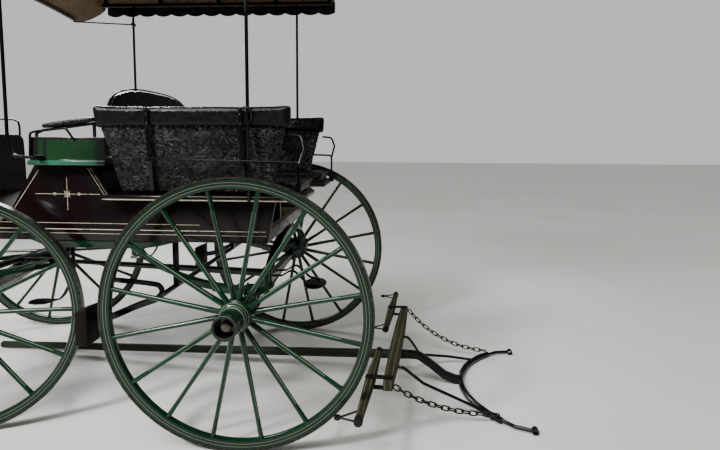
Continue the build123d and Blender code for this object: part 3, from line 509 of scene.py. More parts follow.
# %% Finishes
def effect(group, place, colors, **values):
    """Place a shared effect with its own colours and values, and give back its outputs."""
    node = put("ShaderNodeGroup", node_tree=group)
    feed(place, node.inputs[0])
    for socket, value in {**colors, **values}.items():
        feed(value, node.inputs[socket])
    return node.outputs


def new_finish(name, **constants):
    """A material with its shader and its object coordinates. The helpers work in it from here on."""
    material = bpy.data.materials.new(name)
    material.use_nodes = True
    NET["tree"] = material.node_tree
    shader = material.node_tree.nodes["Principled BSDF"]
    for socket, value in constants.items():
        shader.inputs[socket.replace("_", " ")].default_value = value
    return material, shader, put("ShaderNodeTexCoord").outputs["Object"]


def dress(shader, color, roughness, height, depth):
    """Join colour, roughness and relief to the shader."""
    feed(color, shader.inputs["Base Color"])
    feed(roughness, shader.inputs["Roughness"])
    bump = put("ShaderNodeBump", Strength=1.0, Distance=depth)
    feed(height, bump.inputs["Height"])
    feed(bump.outputs[0], shader.inputs["Normal"])


def dress_in(shader, out, depth, color=None):
    """The same from an effect's outputs, with another colour if one is given."""
    dress(shader, out["Color"] if color is None else color, out["Roughness"], out["Height"], depth)


# %% Painted finishes
def painted(name, color, age, coat, dust):
    """Aged paint of one colour with its own dust and varnish."""
    material, shader, place = new_finish(name, Coat_Weight=coat, Coat_Roughness=0.12, Specular_IOR_Level=0.2)
    dress_in(shader, effect(aged_paint, place, {"Paint": color, "Dust": dust}, Age=age), 0.0006)
    return material


DARK_GREEN = (0.0020, 0.0210, 0.0085, 1)
CREAM = (0.62, 0.56, 0.42, 1)
BLACK = (0.006, 0.006, 0.006, 1)
MAROON = (0.0045, 0.0012, 0.0014, 1)

green_paint = painted("dark green coach paint", DARK_GREEN, 0.22, 0.25, (0.030, 0.042, 0.026, 1))
black_iron = painted("black painted iron", (0.0020, 0.0020, 0.0021, 1), 0.22, 0.04, (0.010, 0.009, 0.008, 1))
rough_iron = painted("forged iron, thin old paint", (0.007, 0.007, 0.007, 1), 0.5, 0.05, (0.060, 0.043, 0.028, 1))

# %% Leather, wood and worn iron
def leathered(name, crinkle, depth, dark, wear_and_highlight, gloss):
    """Leather with its strength of wrinkles, dark colour, pale marks' colour for wear and painted highlights, and
    shine.
    """
    material, shader, place = new_finish(name, Specular_IOR_Level=gloss)
    dress_in(shader, effect(leather_grain, place, {"Dark": dark, "Wear and highlight": wear_and_highlight}, Crinkle=crinkle), depth)
    return material


def timber(name, dark, pale):
    """Bare wood with its grain along X."""
    material, shader, place = new_finish(name, Specular_IOR_Level=0.12)
    dress_in(shader, effect(wood_grain, place, {"Dark": dark, "Pale": pale}), 0.0008)
    return material


# The crinkled leather's pale colour is a little real rubbing but mostly painted highlights on its wrinkles. The same
# pale  marks are faint on the smoother leather and the top cloth.
crinkled_leather = leathered(
    "crinkled old leather", 1.0, 0.0200, (0.0012, 0.0012, 0.0013, 1), (0.150, 0.152, 0.142, 1), 0.26,
)
smooth_leather = leathered(
    "pebbled leather", 0.25, 0.0022, (0.0014, 0.0013, 0.0013, 1), (0.0060, 0.0056, 0.0052, 1), 0.20,
)
floor_wood = timber("plain floor boards", (0.016, 0.011, 0.007, 1), (0.052, 0.036, 0.023, 1))
brake_wood = timber("brake block wood", (0.0016, 0.0008, 0.0005, 1), (0.0060, 0.0030, 0.0018, 1))
pole_wood = timber("dark green weathered pole", (0.004, 0.009, 0.0045, 1), (0.020, 0.030, 0.014, 1))

worn_iron, shader, place = new_finish("worn iron tyre", Metallic=0.6, Specular_IOR_Level=0.3)
rust = between(clouds(place, 16, 7, 0.7), 0.45, 0.7)
bright = between(clouds(place, 90, 4, 0.6), 0.45, 0.75)
iron_color = blended(bright, (0.018, 0.020, 0.014, 1), (0.085, 0.088, 0.070, 1))
dress(shader, blended(rust, iron_color, (0.022, 0.021, 0.013, 1)), between(rust, 0, 1, 0.32, 0.6), bright, 0.0004)
print("leather, wood and iron are ready")

# %% [markdown]
# ## Wooden bars with iron ends
# The draught bars behind the pole are olive painted ash, worn to the wood, and shod with iron: ferrules at their
# ends, clips above and below, and thin trace irons in front. Bar and irons are one solid, so the finish decides by
# place. We measure along and across the pole, and let everything outside the wooden bars be iron.

# %% Bars and their irons
def pole_measure(place, direction):
    """How far a point lies from the pole's pivot in one direction."""
    return minus(dot(place, direction), POLE_X * direction[0])


SINGLE_AHEAD = 0.088  # the single bars lie this far ahead of the double one
tree_wood, shader, place = new_finish("weathered olive bars", Specular_IOR_Level=0.2)
grain_place = fed("ShaderNodeMapping", place, Rotation=(0, 0, math.radians(90) - POLE_YAW))
wood = effect(wood_grain, grain_place, {"Dark": (0.008, 0.0095, 0.0035, 1), "Pale": (0.038, 0.038, 0.015, 1)})
metal = effect(aged_paint, place, {"Paint": (0.005, 0.005, 0.0045, 1), "Dust": (0.034, 0.026, 0.017, 1)}, Age=0.5)
along = pole_measure(place, (math.cos(POLE_YAW), math.sin(POLE_YAW), 0))
aside = absolute(pole_measure(place, (-math.sin(POLE_YAW), math.cos(POLE_YAW), 0)))
off_height = above(absolute(minus(parts_of(place)["Z"], TREE_Z - 0.002)), 0.0225)
shod = above(absolute(minus(aside, 0.520)), 0.332)
iron_here = larger(larger(off_height, below(along, -0.1145)), times(shod, below(along, -0.058)))
# A liner ruled one hair line near each long edge of the three bars
on_double = near_value(absolute(along), 0.0145, 0.0012)
on_single = near_value(absolute(plus(along, SINGLE_AHEAD)), 0.0105, 0.0011)
lined = blended(times(larger(on_double, on_single), 0.6), wood["Color"], (0.21, 0.20, 0.12, 1))
rough = calc("MULTIPLY_ADD", iron_here, -0.25, wood["Roughness"])
dress(shader, blended(iron_here, lined, metal["Color"]), rough, wood["Height"], 0.0008)

# %% [markdown]
# ## Lined body paint
# The body is a maroon so dark that it looks black, varnished to a gloss. The painter ruled thin pale lines round it,
# and put a small star with four long points on the boot. We rule them in the material: each line runs between two
# points of the side, so it stays a true straight line however coarse the mesh is. X here is measured from the
# rear axle.

# %% Panel lines
PANEL_LINES = [
    ((-1.300, 0.972), (-0.240, 0.970), 0.0008),
    ((-1.770, 0.941), (0.080, 0.941), 0.0016),
    ((-1.770, 0.922), (0.085, 0.920), 0.0009),
    ((-1.173, 1.026), (-1.031, 1.226), 0.0007),
    ((-1.116, 1.150), (-1.063, 1.238), 0.0006),
    ((-0.784, 1.238), (-0.707, 1.112), 0.0006),
    ((-0.769, 1.238), (-0.692, 1.112), 0.0004),
    ((-1.052, 1.1125), (-0.728, 1.1125), 0.0008),
    ((-0.891, 1.034), (-0.891, 1.192), 0.0008),
    ((-0.907, 1.0965), (-0.875, 1.1285), 0.0007),
    ((-0.907, 1.1285), (-0.875, 1.0965), 0.0007),
]
STAR_RINGS = [(-0.891, 1.1125, 0.0120), (-0.954, 1.1125, 0.0058), (-0.832, 1.1125, 0.0058)]
SIDE_Y, BOARD_Y, BOARD_LINE_Z = 0.4955, 0.589, 1.0995
body_paint, shader, place = new_finish(
    "maroon body paint", Coat_Weight=0.12, Coat_Roughness=0.10, Specular_IOR_Level=0.2,
)
flat = vector_sum("MULTIPLY", place, (1, 0, 1))
ruled = 0.0
for start, end, half in PANEL_LINES:
    ends = {"From": (start[0] + AXLE_X, 0, start[1]), "To": (end[0] + AXLE_X, 0, end[1]), "Half width": half}
    ruled = larger(ruled, effect(ruled_line, flat, ends)[0])
for x, z, radius in STAR_RINGS:
    far = vector_sum("DISTANCE", flat, (x + AXLE_X, 0, z), output="Value")
    ruled = larger(ruled, near_value(far, radius, 0.0009))
# The lines lie on the two sides only, and not across the boot or the tail
aside = absolute(parts_of(place)["Y"])
ruled = times(ruled, above(aside, SIDE_Y))
# The bench board has one broad cream line along the foot of its edge
board_line = times(above(aside, BOARD_Y), near_value(parts_of(place)["Z"], BOARD_LINE_Z, 0.0026))
rubbed_line = times(larger(ruled, board_line), between(clouds(place, 45, 5), 0.28, 0.5, 0.35, 1.0))
out = effect(aged_paint, place, {"Paint": MAROON, "Dust": (0.020, 0.013, 0.011, 1)}, Age=0.10)
dress_in(shader, out, 0.00025, blended(rubbed_line, out["Color"], CREAM))
print(len(PANEL_LINES), "ruled lines and", len(STAR_RINGS), "small rings")

# %% [markdown]
# ## The driver's board
# The board box under the driver's cushion is a brighter green, with a black top edge and dark ends, and painted shade
# makes it darker towards the rear. Its base moulding is a lighter green, painted brighter still as a highlight. One
# material can do all this, because each part lies at its own place.

# %% Seat board paint
TOP_EDGE_Z, MOULDING_Z = 1.374, 1.277
seat_paint, shader, place = new_finish(
    "seat board green", Coat_Weight=0.35, Coat_Roughness=0.1, Specular_IOR_Level=0.2,
)
axes = parts_of(place)
rear_end = between(axes["X"], AXLE_X - 0.735, AXLE_X - 0.685)
front_end = below(axes["X"], AXLE_X - 0.991)
stripe = near_value(axes["X"], AXLE_X - 0.957, 0.0085)
dark_parts = larger(larger(rear_end, front_end), times(stripe, 0.85))
# The green is painted darker towards the rear: a painted shade where less light falls
painted_shade_to_rear = between(axes["X"], AXLE_X - 1.03, AXLE_X - 0.75, 0.0, 0.55)
board = blended(painted_shade_to_rear, (0.0050, 0.031, 0.0085, 1), (0.0035, 0.021, 0.0060, 1))
board = blended(larger(above(axes["Z"], TOP_EDGE_Z), dark_parts), board, BLACK)
# The base moulding is a lighter green, painted brighter still as a highlight, and black at the rear end
board = blended(below(axes["Z"], MOULDING_Z), board, blended(rear_end, (0.020, 0.115, 0.066, 1), BLACK))
dress_in(shader, effect(aged_paint, place, {"Paint": board, "Dust": (0.060, 0.085, 0.045, 1)}, Age=0.15), 0.0004)

# %% [markdown]
# ## Lined wheels
# On each rim's face runs a black line edged with two hair lines, and each spoke has two hair lines that frame it.
# These lines follow the round of the wheel, so the wheel's pieces carry a note of where each point lies:
# how far from the axle, how far across the spoke, and how far along the axle. The material reads that note.

# %% Wheel paint
WHEEL_DUST = (0.022, 0.036, 0.019, 1)
NOSE_Z, RECESS_Z, RECESS_R = 0.1475, 0.100, 0.0450


def wheel_finish(name):
    """A finish that also reads the note of where a point lies on the wheel."""
    material, shader, place = new_finish(name, Coat_Weight=0.18, Coat_Roughness=0.10, Specular_IOR_Level=0.2)
    note = put("ShaderNodeAttribute", attribute_name="station")
    return material, shader, place, parts_of(note.outputs["Vector"])


rim_paint, shader, place, station = wheel_finish("lined rim")
hair = larger(near_value(station["X"], 0.0145, 0.0009), near_value(station["X"], 0.0275, 0.0009))
side_face = above(absolute(station["Z"]), 0.0160)
paint = blended(times(near_value(station["X"], 0.021, 0.0052), side_face), DARK_GREEN, BLACK)
out = effect(aged_paint, place, {"Paint": paint, "Dust": WHEEL_DUST}, Age=0.2)
dress_in(shader, out, 0.0005, blended(times(times(hair, side_face), 0.6), out["Color"], (0.20, 0.27, 0.18, 1)))

spoke_paint, shader, place, station = wheel_finish("lined spoke")
hair = times(near_value(absolute(station["Y"]), 0.0074, 0.0006), within(station["X"], 0.13, 0.47))
out = effect(aged_paint, place, {"Paint": (0.0025, 0.0280, 0.0120, 1), "Dust": WHEEL_DUST}, Age=0.2)
dress_in(shader, out, 0.0005, blended(times(hair, 0.8), out["Color"], (0.26, 0.38, 0.25, 1)))

hub_paint, shader, place, station = wheel_finish("hub paint")
hair = 0.0
for radius in (0.0665, 0.0610, 0.0558):
    hair = larger(hair, near_value(station["X"], radius, 0.0007))
hair = times(times(hair, within(station["Z"], 0.016, NOSE_Z)), 0.5)
hair = larger(hair, times(near_value(station["Z"], 0.1478, 0.0010), 0.4))
recess = times(above(station["Z"], RECESS_Z), below(station["X"], RECESS_R))
paint = blended(larger(recess, above(station["Z"], NOSE_Z)), DARK_GREEN, (0.007, 0.007, 0.008, 1))
out = effect(aged_paint, place, {"Paint": paint, "Dust": (0.045, 0.050, 0.036, 1)}, Age=0.3)
dress_in(shader, out, 0.0005, blended(hair, out["Color"], (0.30, 0.38, 0.28, 1)))
print("wheel paints read the station attribute")

# %% [markdown]
# ## One spoke, one rim, one hub
# A wheelwright shapes a spoke from a square root at the hub, through an egg-shaped waist, to a round tongue in the
# rim. We draw one spoke ring by ring and copy it round. The rim is a closed ring of four corners with eased edges,
# and the hub is turned like the real one on a lathe, with its mouldings.

# %% Pieces of a wheel
def note_station(piece, of_spoke=False, rim_inner=0.0):
    """Write (distance from the axle, distance across, distance along the axle) on every point."""
    values = []
    for x, y, z in [vertex.co for vertex in piece.data.vertices]:
        values += [x if of_spoke else math.hypot(x, y) - rim_inner, y, z]
    piece.data.attributes.new("station", "FLOAT_VECTOR", "POINT").data.foreach_set("vector", values)
    return piece


def new_spoke(rim_inner, foot):
    """Rings of distance out, place along the axle, half width along the axle and half depth across."""
    stations = [
        (0.060, foot, 0.0150, 0.0105), (0.085, foot * 0.98, 0.0158, 0.0118), (0.130, foot * 0.86, 0.0156, 0.0118),
        (0.200, foot * 0.68, 0.0136, 0.0110), (rim_inner * 0.62, foot * 0.44, 0.0124, 0.0104),
        (rim_inner * 0.86, foot * 0.15, 0.0118, 0.0100), (rim_inner - 0.018, foot * 0.03, 0.0126, 0.0108),
        (rim_inner + 0.004, 0.0, 0.0130, 0.0112),
    ]
    piece = drawn_out("spoke", [(far, wide, deep) for far, _, wide, deep in stations], 14)
    for vertex in piece.data.vertices:
        vertex.co.x -= min(stations, key=lambda ring: abs(ring[0] - vertex.co.z))[1]
    # It was drawn up the Z axis, and is laid along X with its width across
    piece.data.transform(carried((0, 0, -1), (0, 1, 0), (1, 0, 0), (0, 0, 0)))
    return note_station(smooth(piece, 60), of_spoke=True)


RIM_HALF, RIM_EASE = 0.017, 0.004


def new_rim(inner, outer):
    """One face's pairs of height and radius, and the same in reverse for the other face."""
    face = [
        (RIM_EASE * 1.6 - RIM_HALF, inner), (RIM_EASE * 0.5 - RIM_HALF, inner + RIM_EASE * 0.5),
        (-RIM_HALF, inner + RIM_EASE * 1.8), (-RIM_HALF, outer - RIM_EASE * 0.4), (RIM_EASE * 0.4 - RIM_HALF, outer),
    ]
    profile = face + [(-height, radius) for height, radius in reversed(face)]
    return note_station(smooth(turned("rim", profile + [profile[0]], 112, closed=True), 40), rim_inner=inner)


HUB_PROFILE = [
    (-0.0750, 0.0185), (-0.0750, 0.0480), (-0.0735, 0.0500), (-0.0640, 0.0510), (-0.0620, 0.0560), (-0.0575, 0.0575),
    (-0.0560, 0.0700), (-0.0530, 0.0735), (0.0040, 0.0735), (0.0060, 0.0715), (0.0110, 0.0715), (0.0140, 0.0735),
    (0.0175, 0.0700), (0.0215, 0.0660), (0.0330, 0.0625), (0.0350, 0.0595), (0.0395, 0.0595), (0.0440, 0.0560),
    (0.0800, 0.0530), (0.0850, 0.0550), (0.0900, 0.0530), (0.0985, 0.0525), (0.0995, 0.0538), (0.1300, 0.0538),
    (0.1330, 0.0520), (0.1400, 0.0520), (0.1425, 0.0538), (0.1480, 0.0538), (0.1498, 0.0525), (0.1498, 0.0440),
    (0.1485, 0.0432), (0.1030, 0.0432), (0.1030, 0.0185),
]


def new_hub():
    """The turned hub, with the hole for the axle arm left open."""
    return note_station(smooth(turned("hub", HUB_PROFILE + [HUB_PROFILE[0]], 56, closed=True), 30))


# %% [markdown]
# ## Four wheels
# A wheel is built lying flat at the origin, with Z pointing outwards, and is then carried to its place. The front
# pair stands turned to the left, as it was parked. The iron tyres are the solid ones, which are right as they are.

# %% Wheels
RIM_DEPTH, TYRE_DEPTH, SPOKE_FOOT, STAGGER = 0.050, 0.008, -0.024, 0.009


def build_wheel(name, x, side, radius, spokes, heading):
    """Rim, hub and spokes of one wheel, at its place and on its body."""
    outward = Vector((-math.sin(heading) * side, math.cos(heading) * side, 0))
    ahead = Vector((math.cos(heading), math.sin(heading), 0))
    place = carried(ahead, outward.cross(ahead), outward, Vector((x, 0, radius)) + outward * RIM_Y)
    rim_inner = radius - RIM_DEPTH
    made = {"rim": [new_rim(rim_inner, radius - TYRE_DEPTH)], "hub": [new_hub()], "spokes": []}
    patterns = [new_spoke(rim_inner, SPOKE_FOOT + stagger) for stagger in (-STAGGER, STAGGER)]
    for count in range(spokes):
        turn = Matrix.Rotation(math.radians(90 + 360 / spokes * (count + 0.5)), 4, "Z")
        made["spokes"].append(copied(patterns[count % 2], turn))
    for pattern in patterns:
        bpy.data.objects.remove(pattern)
    for kind, finish in (("rim", rim_paint), ("hub", hub_paint), ("spokes", spoke_paint)):
        piece = joined(f"wheel_{name}_{kind}", made[kind])
        piece.data.transform(place)
        handed(piece, finish, f"wheel_{name}", f"wheel_{name}")
    print(name, "has", len(piece.data.vertices), "spoke points")


for end, x, radius, spokes, heading in (("rear", AXLE_X, REAR_R, 16, 0.0), ("front", KINGPIN_X, FRONT_R, 14, STEER)):
    for side, hand in ((-1, "left"), (1, "right")):
        build_wheel(f"{end}_{hand}", x, side, radius, spokes, heading)

# %% [markdown]
# ## Paint for the solid pieces that stay
# Many pieces need no new shape: springs, axles, frames. Their solid gets a finish here. Where its edges show, the
# next cells give it a copy with rounded edges, and the copy takes the finish along.
# The axle nuts are worn steel, so the axle's paint turns to steel past a certain distance from the middle.

# %% Axle paint with steel nuts
NUT_REACH = 0.8345


def axle_finish(name, heading):
    """Green paint with steel nuts, for an axle that points across the given heading."""
    material, shader, place = new_finish(name, Coat_Weight=0.2, Coat_Roughness=0.15, Specular_IOR_Level=0.3)
    aside = dot(place, (-math.sin(heading), math.cos(heading), 0))
    middle = -math.sin(heading) * (KINGPIN_X if heading else 0.0)
    nut = above(absolute(minus(aside, middle)), NUT_REACH)
    out = effect(aged_paint, place, {"Paint": DARK_GREEN, "Dust": (0.050, 0.055, 0.040, 1)}, Age=0.3)
    wear_and_highlight = between(clouds(place, 70, 5), 0.35, 0.7)
    steel = blended(wear_and_highlight, (0.085, 0.078, 0.060, 1), (0.040, 0.035, 0.026, 1))
    feed(nut, shader.inputs["Metallic"])
    dress_in(shader, out, 0.0004, blended(nut, out["Color"], steel))
    return material


FINISHES = {
    green_paint: (
        "cross_springs front_bed_and_kingpin perch side_springs spring_shackles turntable_lower hanger_blocks"
        " draught_irons"
    ),
    black_iron: "brake_bar canopy_frame canopy_posts dash_rail seat_irons steps pole_bow",
    body_paint: "bench_boards bench_risers body_frame boot_boards side_panels",
    seat_paint: "driver_seat_box",
    smooth_leather: "dash",
    worn_iron: "tyre_rear_left tyre_rear_right tyre_front_left tyre_front_right",
    floor_wood: "floor_boards toe_board",
    brake_wood: "brake_blocks",
    pole_wood: "pole",
    tree_wood: "doubletree singletree_left singletree_right",
    axle_finish("rear axle paint", 0.0): "rear_axle",
    axle_finish("front axle paint", STEER): "front_axle",
}
for finish, names in FINISHES.items():
    for name in names.split():
        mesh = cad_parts[name].data
        mesh.materials.clear()
        mesh.materials.append(finish)
print(sum(len(names.split()) for names in FINISHES.values()), "solid pieces have a finish")

# %% [markdown]
# ## Eased edges
# Timber edges are eased by a plane and irons by the hammer. Each of these pieces gets a copy with small bevels, which
# also turns the eight-sided bars into round ones. Thin irons take a small bevel and heavy timber a larger one.

# %% Ease the timber and the irons
EASED = {
    "carriage": {
        "side_panels": 0.003, "boot_boards": 0.002, "body_frame": 0.004, "bench_boards": 0.007, "toe_board": 0.002,
        "driver_seat_box": 0.004, "perch": 0.006, "front_bed_and_kingpin": 0.004, "hanger_blocks": 0.004,
        "brake_blocks": 0.006, "canopy_posts": 0.0022, "seat_irons": 0.0018, "dash_rail": 0.0022, "steps": 0.0018,
        "brake_bar": 0.0022, "side_springs": 0.0015, "cross_springs": 0.0015, "spring_shackles": 0.0018,
        "canopy_frame": 0.003, "rear_axle": 0.004,
    },
    "front_gear": {"front_axle": 0.004, "draught_irons": 0.0022},
    "pole_set": {"pole": 0.004, "pole_bow": 0.0032, "doubletree": 0.003},
    "singletree_left": {"singletree_left": 0.0028},
    "singletree_right": {"singletree_right": 0.0028},
}
eased = {node: softened(node, body, width) for body, widths in EASED.items() for node, width in widths.items()}
print("eased copies:", {node: len(piece.data.polygons) for node, piece in eased.items()})

# %% [markdown]
# ## The side rails' front ends
# The photograph shows each side rail ending with a short turn in to the bench back, and nothing stands under it
# there. The solid has a post in that place. So we select the post's points by their place, delete them from the
# eased copy, and draw the turned end as a short bent rod, let into the rail so that no gap shows.

# %% Turn the rails' front ends in
POST_X, POST_Y, RAIL_Z = AXLE_X - 0.6235, 0.585, 1.2952
irons = take(eased["seat_irons"])
edit("DESELECT")
bpy.ops.mesh.select_mode(type="VERT")
leave()
for vertex in irons.data.vertices:
    vertex.select = vertex.co.x < POST_X and abs(vertex.co.y) > POST_Y
print("post points deleted:", sum(vertex.select for vertex in irons.data.vertices))
bpy.ops.object.mode_set(mode="EDIT")
bpy.ops.mesh.delete(type="VERT")
leave()
RAIL_END = [(-0.592, 0.614), (-0.616, 0.614), (-0.6265, 0.609), (-0.6295, 0.596), (-0.6300, 0.551)]
for side, name in ((-1, "rail_end_left"), (1, "rail_end_right")):
    end = rod(name, [(x + AXLE_X, side * y, RAIL_Z) for x, y in RAIL_END], 0.0067)
    handed(end, black_iron, "seat_irons")

# %% [markdown]
# ## Filling a cushion
# Leather over horsehair swells between its seams. We draw a block, cut it into an even net of small squares, and let
# Blender's cloth blow it up a little with the gravity off. No point may move further than a cap, so the cushion
# stays near its frame. One subdivision then makes it smooth.

# %% Swelling
LAST_FRAME = 20


def swell(piece, voxel, cap):
    """Blow a shape up by no more than the cap, on a net of squares of the voxel's size."""
    take(piece)
    net = piece.modifiers.new("even net", "REMESH")
    net.mode = "VOXEL"
    net.voxel_size = voxel
    apply_all(piece)
    start = [vertex.co.copy() for vertex in piece.data.vertices]
    cloth = piece.modifiers.new("filling", "CLOTH")
    cloth.settings.use_pressure = True
    cloth.settings.uniform_pressure_force = 4.0
    cloth.settings.effector_weights.gravity = 0
    cloth.settings.quality = 5
    cloth.point_cache.frame_start = 1
    cloth.point_cache.frame_end = LAST_FRAME
    for step in range(1, LAST_FRAME + 1):
        bpy.context.scene.frame_set(step)
    apply_all(piece)
    bpy.context.scene.frame_set(1)
    moves = [vertex.co - before for vertex, before in zip(piece.data.vertices, start)]
    drift = sum(moves, Vector((0, 0, 0))) / len(start)
    for vertex, before, move in zip(piece.data.vertices, start, moves):
        move = move - drift
        if move.length > cap:
            move *= cap / move.length
        vertex.co = before + move
    round_over = piece.modifiers.new("round over", "SUBSURF")
    round_over.levels = round_over.render_levels = 1
    apply_all(piece)
    return smooth(piece, 80)


def pressed(piece, depth_at):
    """Push every point in along its normal by a depth that depends on where it is."""
    mesh = piece.data
    normals = [vertex.normal.copy() for vertex in mesh.vertices]
    for vertex, normal in zip(mesh.vertices, normals):
        vertex.co -= normal * depth_at(vertex.co, normal)
    mesh.update()


# %% Blocks and tufts
def block(name, low, high, ease=0.0, cuts=0):
    """A block between two corners, with eased edges or cut into strips."""
    rest()
    bpy.ops.mesh.primitive_cube_add(size=1, location=(0, 0, 0))
    piece = bpy.context.object
    piece.name = name
    edit()
    bpy.ops.transform.resize(value=[b - a for a, b in zip(low, high)], center_override=(0, 0, 0))
    bpy.ops.transform.translate(value=[(a + b) / 2 for a, b in zip(low, high)])
    if ease:
        bpy.ops.mesh.bevel(offset=ease, segments=3, affect="EDGES")
    if cuts:
        bpy.ops.mesh.subdivide(number_cuts=cuts)
    leave()
    return piece


def bell(value, width):
    """One at nought, falling off to both sides."""
    return math.exp(-((value / width) ** 2))


def tufts(across, along, pitch):
    """Depth of a diamond tufting: creases along two diagonals, and a button where they cross."""
    first = across / pitch + along / pitch
    second = across / pitch - along / pitch
    off_first, off_second = abs(first - round(first)), abs(second - round(second))
    crease = 0.004 * max(bell(off_first, 0.09), bell(off_second, 0.09))
    return crease + 0.007 * math.exp(-((off_first**2 + off_second**2) / 0.018))


# %% [markdown]
# ## Bench backs
# The two long backs lean outwards. Below, each is a leather panel, dry and deeply crinkled outside and buttoned
# inside, and along its top runs a fat roll of smoother leather. They are made lying in their own plane: X along the
# bench, Y up the back, Z outwards. Then they are leaned into place, and mirrored for the other side.

# %% The plane of the backs
BACK_LEAN = math.atan2(0.045, 0.414)
BACK_FOOT_Y, BACK_FOOT_Z = 0.540, 1.121
STRAPS_X = (-0.440, -0.006)


def leaned(side):
    """From the back's own plane to its place: the foot lies 0.54 m from the middle, at seat height."""
    up = (0, side * math.sin(BACK_LEAN), math.cos(BACK_LEAN))
    out = (0, side * math.cos(BACK_LEAN), -math.sin(BACK_LEAN))
    return carried((1, 0, 0), up, out, (AXLE_X, side * BACK_FOOT_Y, BACK_FOOT_Z))


def bumps(place, x, y, z):
    """Smooth noise over the back's own plane, with its own pitch along X and along Y."""
    return noise.noise(Vector((place.x * x, place.y * y, z)))


# %% Back panels
def back_relief(place, normal):
    """Buttons on the inner face, slack folds on the outer one."""
    if normal.z < -0.5 and 0.03 < place.y < 0.30:
        return tufts(place.x + 0.03, place.y - 0.01, 0.21) - 0.002
    folds = bumps(place, 9, 7, 3.1) + 0.6 * bumps(place, 24, 21, 7.7)
    creases = bell(bumps(place, 48, 56, 1.3), 0.10) + 0.6 * bell(bumps(place, 96, 84, 4.1), 0.12)
    return 0.0036 * folds + 0.0042 * creases


panel = block("bench_back_left", (-0.608, 0.004, -0.038), (0.126, 0.328, -0.006), 0.008)
middle = -0.230
for vertex in panel.data.vertices:
    share = min((vertex.co.y - 0.004) / 0.302, 1.0)
    vertex.co.x = middle + (vertex.co.x - middle) * (1 + 0.195 * share)
swell(panel, 0.0075, 0.006)
pressed(panel, back_relief)

# %% Top rolls
def roll_relief(place, normal):
    """A slightly slack, pebbled roll that dips where the straps cross it."""
    dents = 0.0016 * bumps(place, 11, 14, 5.0) + 0.0006 * noise.noise(place * 55)
    return dents + 0.0018 * sum(bell(place.x - at, 0.022) for at in STRAPS_X)


roll = block("bench_roll_left", (-0.703, 0.308, -0.045), (0.220, 0.4120, 0.0020), 0.014)
for vertex in roll.data.vertices:
    if vertex.co.y < 0.35:
        vertex.co.x *= 0.985 if vertex.co.x > 0 else 0.995
swell(roll, 0.0075, 0.006)
pressed(roll, roll_relief)

for piece, finish in ((panel, crinkled_leather), (roll, smooth_leather)):
    twin = copied(piece, leaned(1), piece.name.replace("left", "right"))
    piece.data.transform(leaned(-1))
    for half in (piece, twin):
        handed(half, finish, "bench_backs")
print("bench backs:", len(panel.data.polygons), "and", len(roll.data.polygons), "faces each")

# %% [markdown]
# ## Bench cushions
# A loose squab lies on each bench: a boxed leather cushion, a little crowned, with two rows of buttons and a piped
# edge. The piping is a thin cord sewn in the seam. It is a bent rod that follows the cushion's edge.

# %% Squabs
def button(first, second):
    """One in the middle of a button: at whole numbers of the first value, at halves of the second."""
    return math.exp(-(((first - round(first)) ** 2 + (second - round(second - 0.5) - 0.5) ** 2) / 0.020))


def squab_relief(place, normal):
    """Buttons on top, a little slackness round the sides."""
    if normal.z > 0.4:
        return 0.007 * button((place.x - AXLE_X + 0.169) / 0.150, (place.y + 0.344) / 0.130)
    return 0.0012 * noise.noise(place * 16)


def filled(name, low, high, ease, voxel, cap, foot, relief):
    """A boxed cushion that stays above its foot. X is measured from the axle."""
    piece = block(name, (low[0] + AXLE_X, *low[1:]), (high[0] + AXLE_X, *high[1:]), ease)
    swell(piece, voxel, cap)
    for vertex in piece.data.vertices:
        vertex.co.z = max(vertex.co.z, foot)
    pressed(piece, relief)
    return piece


squab = filled(
    "bench_squab_left", (-0.593, -0.484, 1.1225), (0.255, -0.204, 1.176), ease=0.010, voxel=0.010, cap=0.009,
    foot=1.1215, relief=squab_relief,
)
# The cord runs straight along the sides, and a point on each side of a corner keeps the turn short
x0, x1, y0, y1, turn = AXLE_X - 0.594, AXLE_X + 0.256, -0.486, -0.202, 0.022
seam_line = [
    (x0, y0 + turn), (x0, y0), (x0 + turn, y0), (x1 - turn, y0), (x1, y0), (x1, y0 + turn), (x1, y1 - turn), (x1, y1),
    (x1 - turn, y1), (x0 + turn, y1), (x0, y1), (x0, y1 - turn), (x0, y0 + turn),
]
cords = [rod("cord", [(x, y, height) for x, y in seam_line], 0.0035, 2) for height in (1.1755, 1.1265)]
seam = joined("squab_piping_left", cords)
mirror = Matrix.Scale(-1, 4, (0, 1, 0))
for piece in (squab, seam):
    for half in (piece, copied(piece, mirror, piece.name.replace("left", "right"))):
        handed(half, smooth_leather, "bench_cushions")
print("squabs:", len(squab.data.polygons), "faces each")

# %% [markdown]
# ## The driver's seat
# The driver sits higher, on a deep cushion in the board box, against a back with a hump along its top. The front of
# the back is buttoned, its rear is plain leather. A piping follows the hump. The arm pads are small stuffed rolls on
# the arm irons.

# %% Driver's cushion
def driver_cushion_relief(place, normal):
    """The same with wider buttons."""
    if normal.z > 0.4:
        return 0.010 * button(place.y / 0.170, (place.x - AXLE_X + 0.8495) / 0.140)
    return 0.0015 * noise.noise(place * 14)


driver_cushion = filled(
    "driver_squab", (-1.006, -0.520, 1.276), (-0.693, 0.520, 1.372), ease=0.014, voxel=0.012, cap=0.010,
    foot=1.2745, relief=driver_cushion_relief,
)

# %% Driver's back
BACK_Z, SHOULDER_Z, PIPE_X, PIPE_Y = 1.390, 1.493, AXLE_X - 0.684, 0.4945


def hump(y):
    """Height of the back's top edge: quick round shoulders and a low crown."""
    return SHOULDER_Z + 0.157 * (1 - min(abs(y) / 0.5, 1.0) ** 3) ** (1 / 2.2)


def driver_back_relief(place, normal):
    """Tufting in front, below the piping, and slack leather elsewhere."""
    if normal.x < -0.5 and place.z < hump(place.y) - 0.03:
        return tufts(place.y, place.z - 1.41, 0.20) - 0.001
    return 0.0022 * noise.noise(Vector((place.y * 8, place.z * 9, place.x))) + 0.0006 * noise.noise(place * 50)


